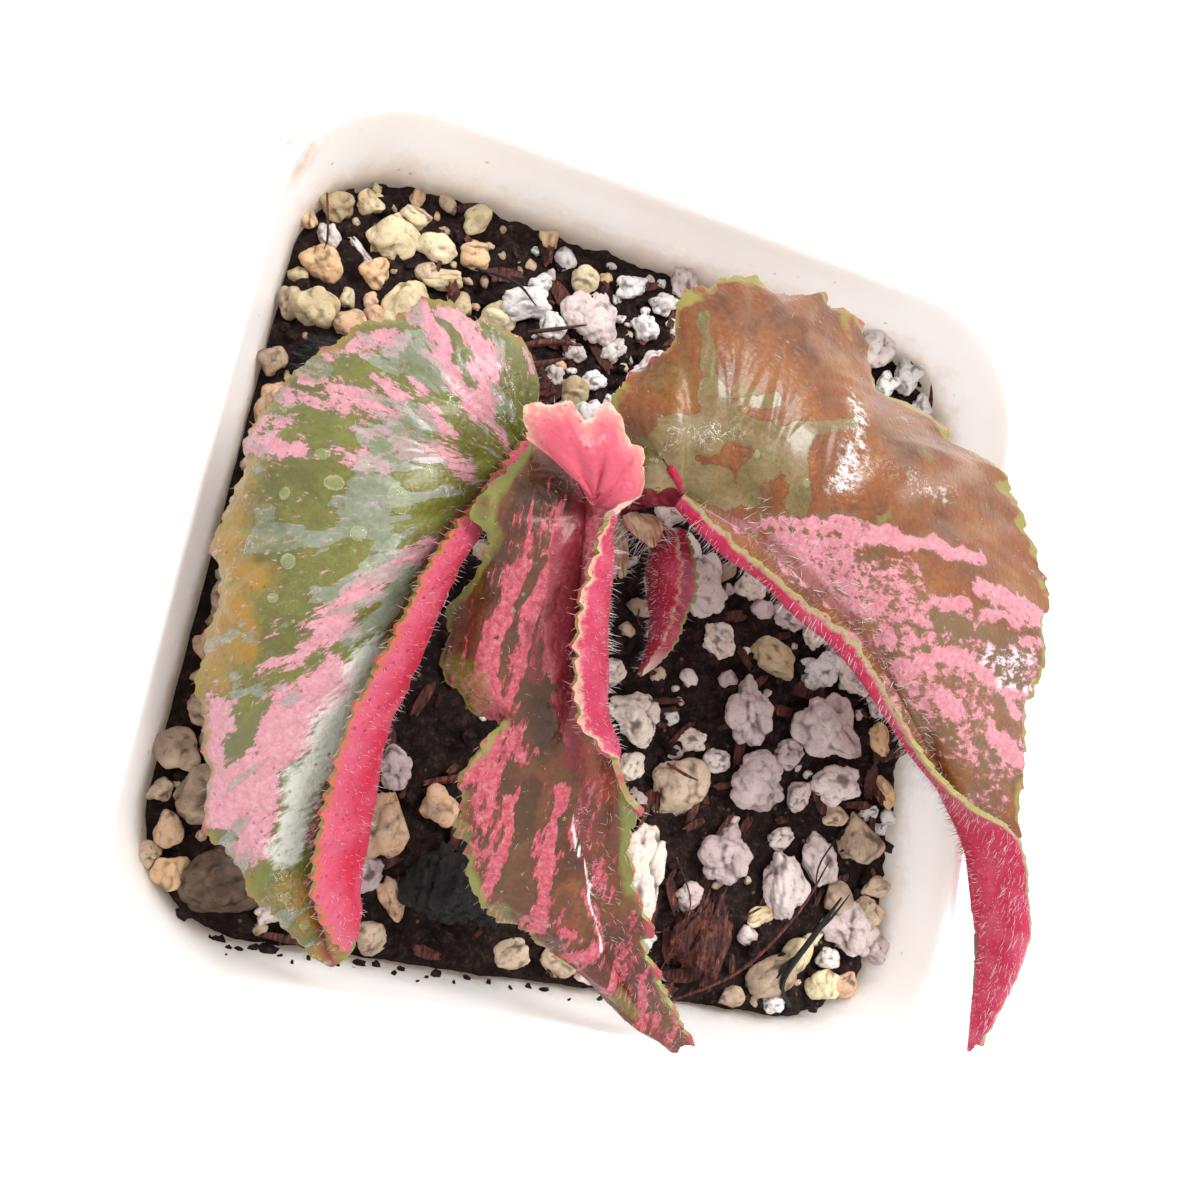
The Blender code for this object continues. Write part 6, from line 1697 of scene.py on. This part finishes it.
def nursery_plastic():
    """White polypropylene, thin and injection moulded: milky, lets light through, satin, with marks of soil.

    The eye sees its free rim glow evenly, with faint lines of the draw, a few brown specks inside and a
    stain at the rim. Lower down, a greyish band is painted shade, where the dark mix inside darkens the
    wall through it.
    """
    made, add, coords = new_material("milky_polypropylene")
    drawn = add("Mapping", coords, Scale=(1, 1, 0.06))
    lines = add("TexNoise", drawn, size=1.6, Detail=3.0)
    cloud = add("TexNoise", coords, size=16.0, Detail=4.0)
    colour = add("ValToRGB", cloud, stops=[(0.3, "#F1EAE4"), (0.7, "#F6F2EF")])
    z = add("SeparateXYZ", coords, out="Z")
    inside = add("MapRange", z, 0.0745, 0.066)
    specks = add("TexVoronoi", coords, size=2.2, out="Distance")
    rare = add("MapRange", add("TexNoise", coords, size=5.0, Detail=2.0), 0.5, 0.6)
    speck = add("Math.MULTIPLY", add("MapRange", specks, 0.11, 0.07), add("Math.MULTIPLY", rare, inside))
    colour = lay(add, colour, "#6E4A34", speck, 0.8)
    smear = add("TexNoise", coords, size=3.0, Detail=7.0, Roughness=0.7)
    # warmer and darker towards the soil line
    low = add("MapRange", stray(add, z, smear, 0.012), 0.069, 0.0655)
    colour = lay(add, colour, "#CDBBA8", low, 0.4)
    away = add("VectorMath.DISTANCE", coords, (-0.0385, 0.031, 0.0745), out="Value")
    stain = add("Math.MULTIPLY", add("MapRange", away, 0.004, 0.0005), add("MapRange", smear, 0.42, 0.56))
    colour = lay(add, colour, "#A06A44", stain, 0.6)
    # painted shade: below the soil line the wall is greyed in clods, where the dark mix inside darkens it
    # through the plastic
    clods = add("TexNoise", coords, size=5.0, Detail=5.0, Roughness=0.6)
    painted_shade_band = add("MapRange", stray(add, z, clods, 0.01), 0.0665, 0.0635)
    painted_shade_colour = add("MixRGB", add("MapRange", clods, 0.38, 0.64), "#CAC2BA", "#BAB1A7")
    colour = lay(add, colour, painted_shade_colour, painted_shade_band, 0.85)
    return set_shader(made, Base_Color=colour, Subsurface_Radius=(1.0, 0.95, 0.92), Roughness=0.38, IOR=1.49,
                      Subsurface_Weight=0.75, Subsurface_Scale=3.0 * MM,
                      Normal=add("Bump", Height=lines, Distance=0.03 * MM))


def stony(name, stops, pit_colour, stain, roughness, cell_mm, depth_mm):
    """Rough mineral grain: a tone for each stone, stains, a fine pitted skin, and darker colour in its pits and
    hollows.
    """
    made, add, coords = new_material(name)
    cloud = add("TexNoise", coords, size=2.2, Detail=4.0)
    grain = add("TexNoise", coords, size=0.35, Detail=6.0, Roughness=0.75)
    tone = stray(add, add("Attribute.tone", out="Fac"), cloud, 0.7)
    tone = stray(add, tone, grain, 0.5)
    colour = add("ValToRGB", tone, stops=stops)
    patch = add("MapRange", add("TexNoise", coords, size=1.6, Detail=5.0, Roughness=0.65), 0.58, 0.68)
    colour = lay(add, colour, stain, patch, 0.5)
    holes = add("TexVoronoi", coords, size=cell_mm, out="Distance")
    hollow = add("Math.MULTIPLY", add("MapRange", holes, 0.3, 0.1), add("MapRange", grain, 0.45, 0.6))
    # darker in the pits and the hollows between the bulges, and in random smudges
    pitted = add("MapRange", add("Attribute.pit", out="Fac"), 0.4, 1.0)
    darkening = add("Math.MAXIMUM", add("Math.MULTIPLY", pitted, 0.8), add("Math.MULTIPLY", hollow, 0.5))
    smudge = add("MapRange", add("TexNoise", coords, size=2.8, Detail=7.0, Roughness=0.7), 0.53, 0.64)
    darkening = add("Math.MAXIMUM", darkening, add("Math.MULTIPLY", smudge, 0.45))
    colour = add("MixRGB", darkening, colour, pit_colour)
    return set_shader(made, Base_Color=colour, Roughness=roughness, Specular_IOR_Level=0.25,
                      Normal=add("Bump", Height=add("Math.MULTIPLY_ADD", holes, 0.5, grain),
                                 Distance=depth_mm * MM))


def fibrous(name, stops, roughness, gleam):
    """Charred or raw wood: long fibres drawn out along y, dark between them."""
    made, add, coords = new_material(name)
    drawn = add("Mapping", coords, Rotation=(0, 0, 0.25), Scale=(1, 0.12, 1))
    fibre = add("TexNoise", drawn, size=0.35, Detail=6.0, Roughness=0.7)
    grain = add("TexNoise", coords, size=1.5, Detail=6.0, Roughness=0.7)
    tone = add("Math.MULTIPLY_ADD", fibre, 0.8, add("Math.MULTIPLY", grain, 0.2))
    colour = add("ValToRGB", tone, stops=stops)
    return set_shader(made, Base_Color=colour, Roughness=roughness, Specular_IOR_Level=gleam,
                      Normal=add("Bump", Height=tone, Distance=0.35 * MM))


def damp_peat(name):
    """Damp potting mix: near-black peat crumbs and rotted fibre, dull, with brown bits."""
    made, add, coords = new_material(name)
    crumb = add("TexNoise", coords, size=0.7, Detail=8.0, Roughness=0.75)
    stops = [(0.36, "#120B0B"), (0.52, "#2A1C1A"), (0.64, "#4A342C"), (0.74, "#7A5E4A")]
    colour = add("ValToRGB", crumb, stops=stops)
    bits = add("TexVoronoi", coords, size=1.3, out="Distance")
    rare = add("MapRange", add("TexNoise", coords, size=2.5), 0.52, 0.6)
    bit = add("Math.MULTIPLY", add("MapRange", bits, 0.18, 0.1), rare)
    colour = lay(add, colour, "#8A6C58", bit, 0.8)
    return set_shader(made, Base_Color=colour, Roughness=0.85, Specular_IOR_Level=0.2,
                      Normal=add("Bump", Height=crumb, Distance=0.5 * MM))


def mist_water():
    """Water drop: clear, round and bright at its edge."""
    made, add, coords = new_material("mist_water")
    haze = add("TexNoise", coords, size=3.0)
    colour = add("MixRGB", haze, "#B4C468", "#E8F0D0")
    return set_shader(made, Base_Color=colour, Roughness=0.03, IOR=1.333, Specular_IOR_Level=1.0, Alpha=0.16)


def table_board():
    """White melamine board with a faint satin grain."""
    made, add, coords = new_material("white_table_board")
    grain = add("TexNoise", coords, size=40.0, Detail=4.0)
    return set_shader(made, Base_Color=add("MixRGB", grain, "#F6F9FF", "#FEFEFF"), Roughness=0.6)


# Stones: substance, colours from dark to pale, pits, stain, roughness, size of the pits and relief
STONE_LOOKS = {
    "pebble_cream": (
        "washed_cream_pumice", [(0, "#B8A27E"), (0.3, "#D8C8A2"), (0.6, "#E8DCB8"), (0.9, "#E2BC92")],
        "#6A543E", "#DFAF80", 0.8, 0.6, 0.14),
    "pebble_beige": (
        "weathered_beige_pumice", [(0, "#947F6C"), (0.3, "#BFA78E"), (0.65, "#D6C0A6"), (0.98, "#D8AE8C")],
        "#43322A", "#B88862", 0.85, 0.6, 0.16),
    "pumice_lilac": (
        "lilac_white_pumice", [(0, "#C4B0AE"), (0.35, "#DECCC8"), (0.7, "#EEE0DA"), (0.95, "#F2E2D2")],
        "#4E3E40", "#D2B4B0", 0.9, 0.45, 0.2),
    "perlite": (
        "expanded_perlite", [(0, "#CCC2BA"), (0.4, "#E4DDD8"), (0.8, "#F2EEEA")],
        "#54463E", "#BCA898", 0.9, 0.4, 0.2),
    "stone_brown": (
        "brown_tuff", [(0, "#4C3A30"), (0.35, "#7C6656"), (0.65, "#9C8470"), (0.95, "#B89C80")],
        "#241814", "#A8744C", 0.85, 0.6, 0.8),
}
# Wood: substance, colours from dark to pale, roughness and gleam
FIBRE_LOOKS = {
    "charcoal": (
        "broken_charcoal", [(0.36, "#060405"), (0.52, "#181315"), (0.64, "#2E2827"), (0.76, "#574A40")], 0.55,
        0.35),
    "bark": (
        "damp_bark", [(0.36, "#1A0C0C"), (0.48, "#40201E"), (0.58, "#6E3A2A"), (0.7, "#A8683E")], 0.6, 0.3),
}
# Undersides: margin, middle and fold, and how far in the margin's colour reaches
UNDER_LOOKS = {
    "leaf_left": ("#DA7050", "#E8607C", "#DC1244", 0.04),
    "leaf_middle": ("#EDBBA0", "#DC3462", "#BC0C3C", 0.06),
    "leaf_right": ("#CDBE92", "#DE2258", "#D60C48", 0.08),
    "leaf_young": ("#E88C84", "#C80A3C", "#A0042C", 0.04),
}
RIM_COLOURS = {
    "leaf_left": ("#8A7A2C", "#A8943C", "#C87862"), "leaf_middle": ("#A8B458", "#C8BC78", "#98AC54"),
    "leaf_right": ("#B4A848", "#B8B458", "#D08A70"), "leaf_young": ("#F0B0A8", "#A8A850", "#E89088"),
}


# Camera, light and pieces

def make_camera():
    right, down, ahead = (Vector(axis) for axis in (CAMERA_RIGHT, CAMERA_DOWN, CAMERA_AHEAD))
    camera = bpy.data.objects.new("camera", bpy.data.cameras.new("camera"))
    bpy.context.scene.collection.objects.link(camera)
    turn = Matrix((right, -down, -ahead)).transposed()
    camera.matrix_world = Matrix.Translation(Vector(CAMERA_PLACE) * MM) @ turn.to_4x4()
    camera.data.lens = CAMERA_LENS
    camera.data.sensor_width = 36.0
    camera.data.clip_start = 0.005
    bpy.context.scene.camera = camera


def make_light(name, place, aim, size, power, colour="#FFFFFF"):
    light = bpy.data.lights.new(name, "AREA")
    light.shape = "SQUARE"
    light.size = size
    light.energy = power
    light.color = linear_colour(colour)[:3]
    made = bpy.data.objects.new(name, light)
    bpy.context.scene.collection.objects.link(made)
    made.location = place
    made.rotation_euler = (Vector(aim) - Vector(place)).to_track_quat("-Z", "Y").to_euler()


def make_studio():
    """A white table, an even white sky and one soft window."""
    floor = start_shape(bpy.ops.mesh.primitive_plane_add, size=3.0, location=(0, 0, 0))
    floor.name = "table"
    floor.data.materials.append(table_board())
    world = bpy.data.worlds.new("studio")
    world.use_nodes = True
    sky = world.node_tree.nodes["Background"]
    sky.inputs["Color"].default_value = (1.0, 1.0, 1.0, 1.0)
    sky.inputs["Strength"].default_value = SKY_STRENGTH
    bpy.context.scene.world = world
    make_light("window", WINDOW_PLACE, WINDOW_AIM, WINDOW_SIZE, WINDOW_POWER)
    bpy.context.scene.view_settings.view_transform = "Standard"


def lay_grit(peat):
    """The stones, crumbs and debris on the mix."""
    rng = np.random.default_rng(5)
    fill_gaps(rng)
    finishes = {kind: stony(*look) for kind, look in STONE_LOOKS.items()}
    finishes.update((kind, fibrous(*look)) for kind, look in FIBRE_LOOKS.items())
    for kind, finish in finishes.items():
        place_stones(kind, finish, np.random.default_rng(len(kind)))
    make_crumbs(peat, rng)
    make_shreds(finishes["bark"], rng)
    make_debris(finishes["bark"], finishes["charcoal"])


def grow_leaves():
    """The leaves and stipules with their hairs and drops."""
    pale = leaf_hair("glassy_white_hair", "#F2C8C4", "#FFF8F4")
    red = leaf_hair("red_footed_bristle", "#C83C56", "#F4C8C0")
    papery = dry_stipule()
    hair = hair_template()
    for name, leaf in LEAVES.items():
        rng = np.random.default_rng(7 * len(name))
        stipule = name.startswith("stipule")
        if stipule:
            finishes = [papery]
        else:
            upper = leaf_upper(name) if name in LEAF_LOOKS else young_leaf_upper()
            short = name.split("_")[1]
            finishes = [upper, leaf_under(short, *UNDER_LOOKS[name]), leaf_rim(short, RIM_COLOURS[name])]
        broad, rolled = make_leaf(name, leaf, finishes)
        (broad_pitch, broad_length), (rolled_pitch, rolled_length) = STIPULE_HAIRS if stipule else MARGIN_HAIRS
        bristles = margin_hairs(broad, rng, broad_pitch, broad_length)
        bristles += margin_hairs(rolled, rng, rolled_pitch, rolled_length)
        if name == "leaf_right":
            bristles += surface_hairs(rolled, rng, *STRIP_BRISTLES)
        kind = "_hairs" if stipule else "_bristles"
        settle(bury(hair, bristles, name + kind), name + kind, [pale if stipule else red])
        fuzz = []
        for half, *rest in SKIN_HAIRS.get(name, ()):
            fuzz += surface_hairs(broad if half == "broad" else rolled, rng, *rest)
        if fuzz:
            settle(bury(hair, fuzz, name + "_hairs"), name + "_hairs", [pale])
        if name in DROPS:
            make_drops(name, broad, rng)
    bpy.data.objects.remove(hair)


def main():
    noise.seed_set(WANDER_SEED)
    make_camera()
    make_studio()
    make_pot(nursery_plastic())
    peat = damp_peat("damp_peat")
    make_soil(peat)
    make_stem(fleshy_stem())
    lay_grit(peat)
    grow_leaves()


main()
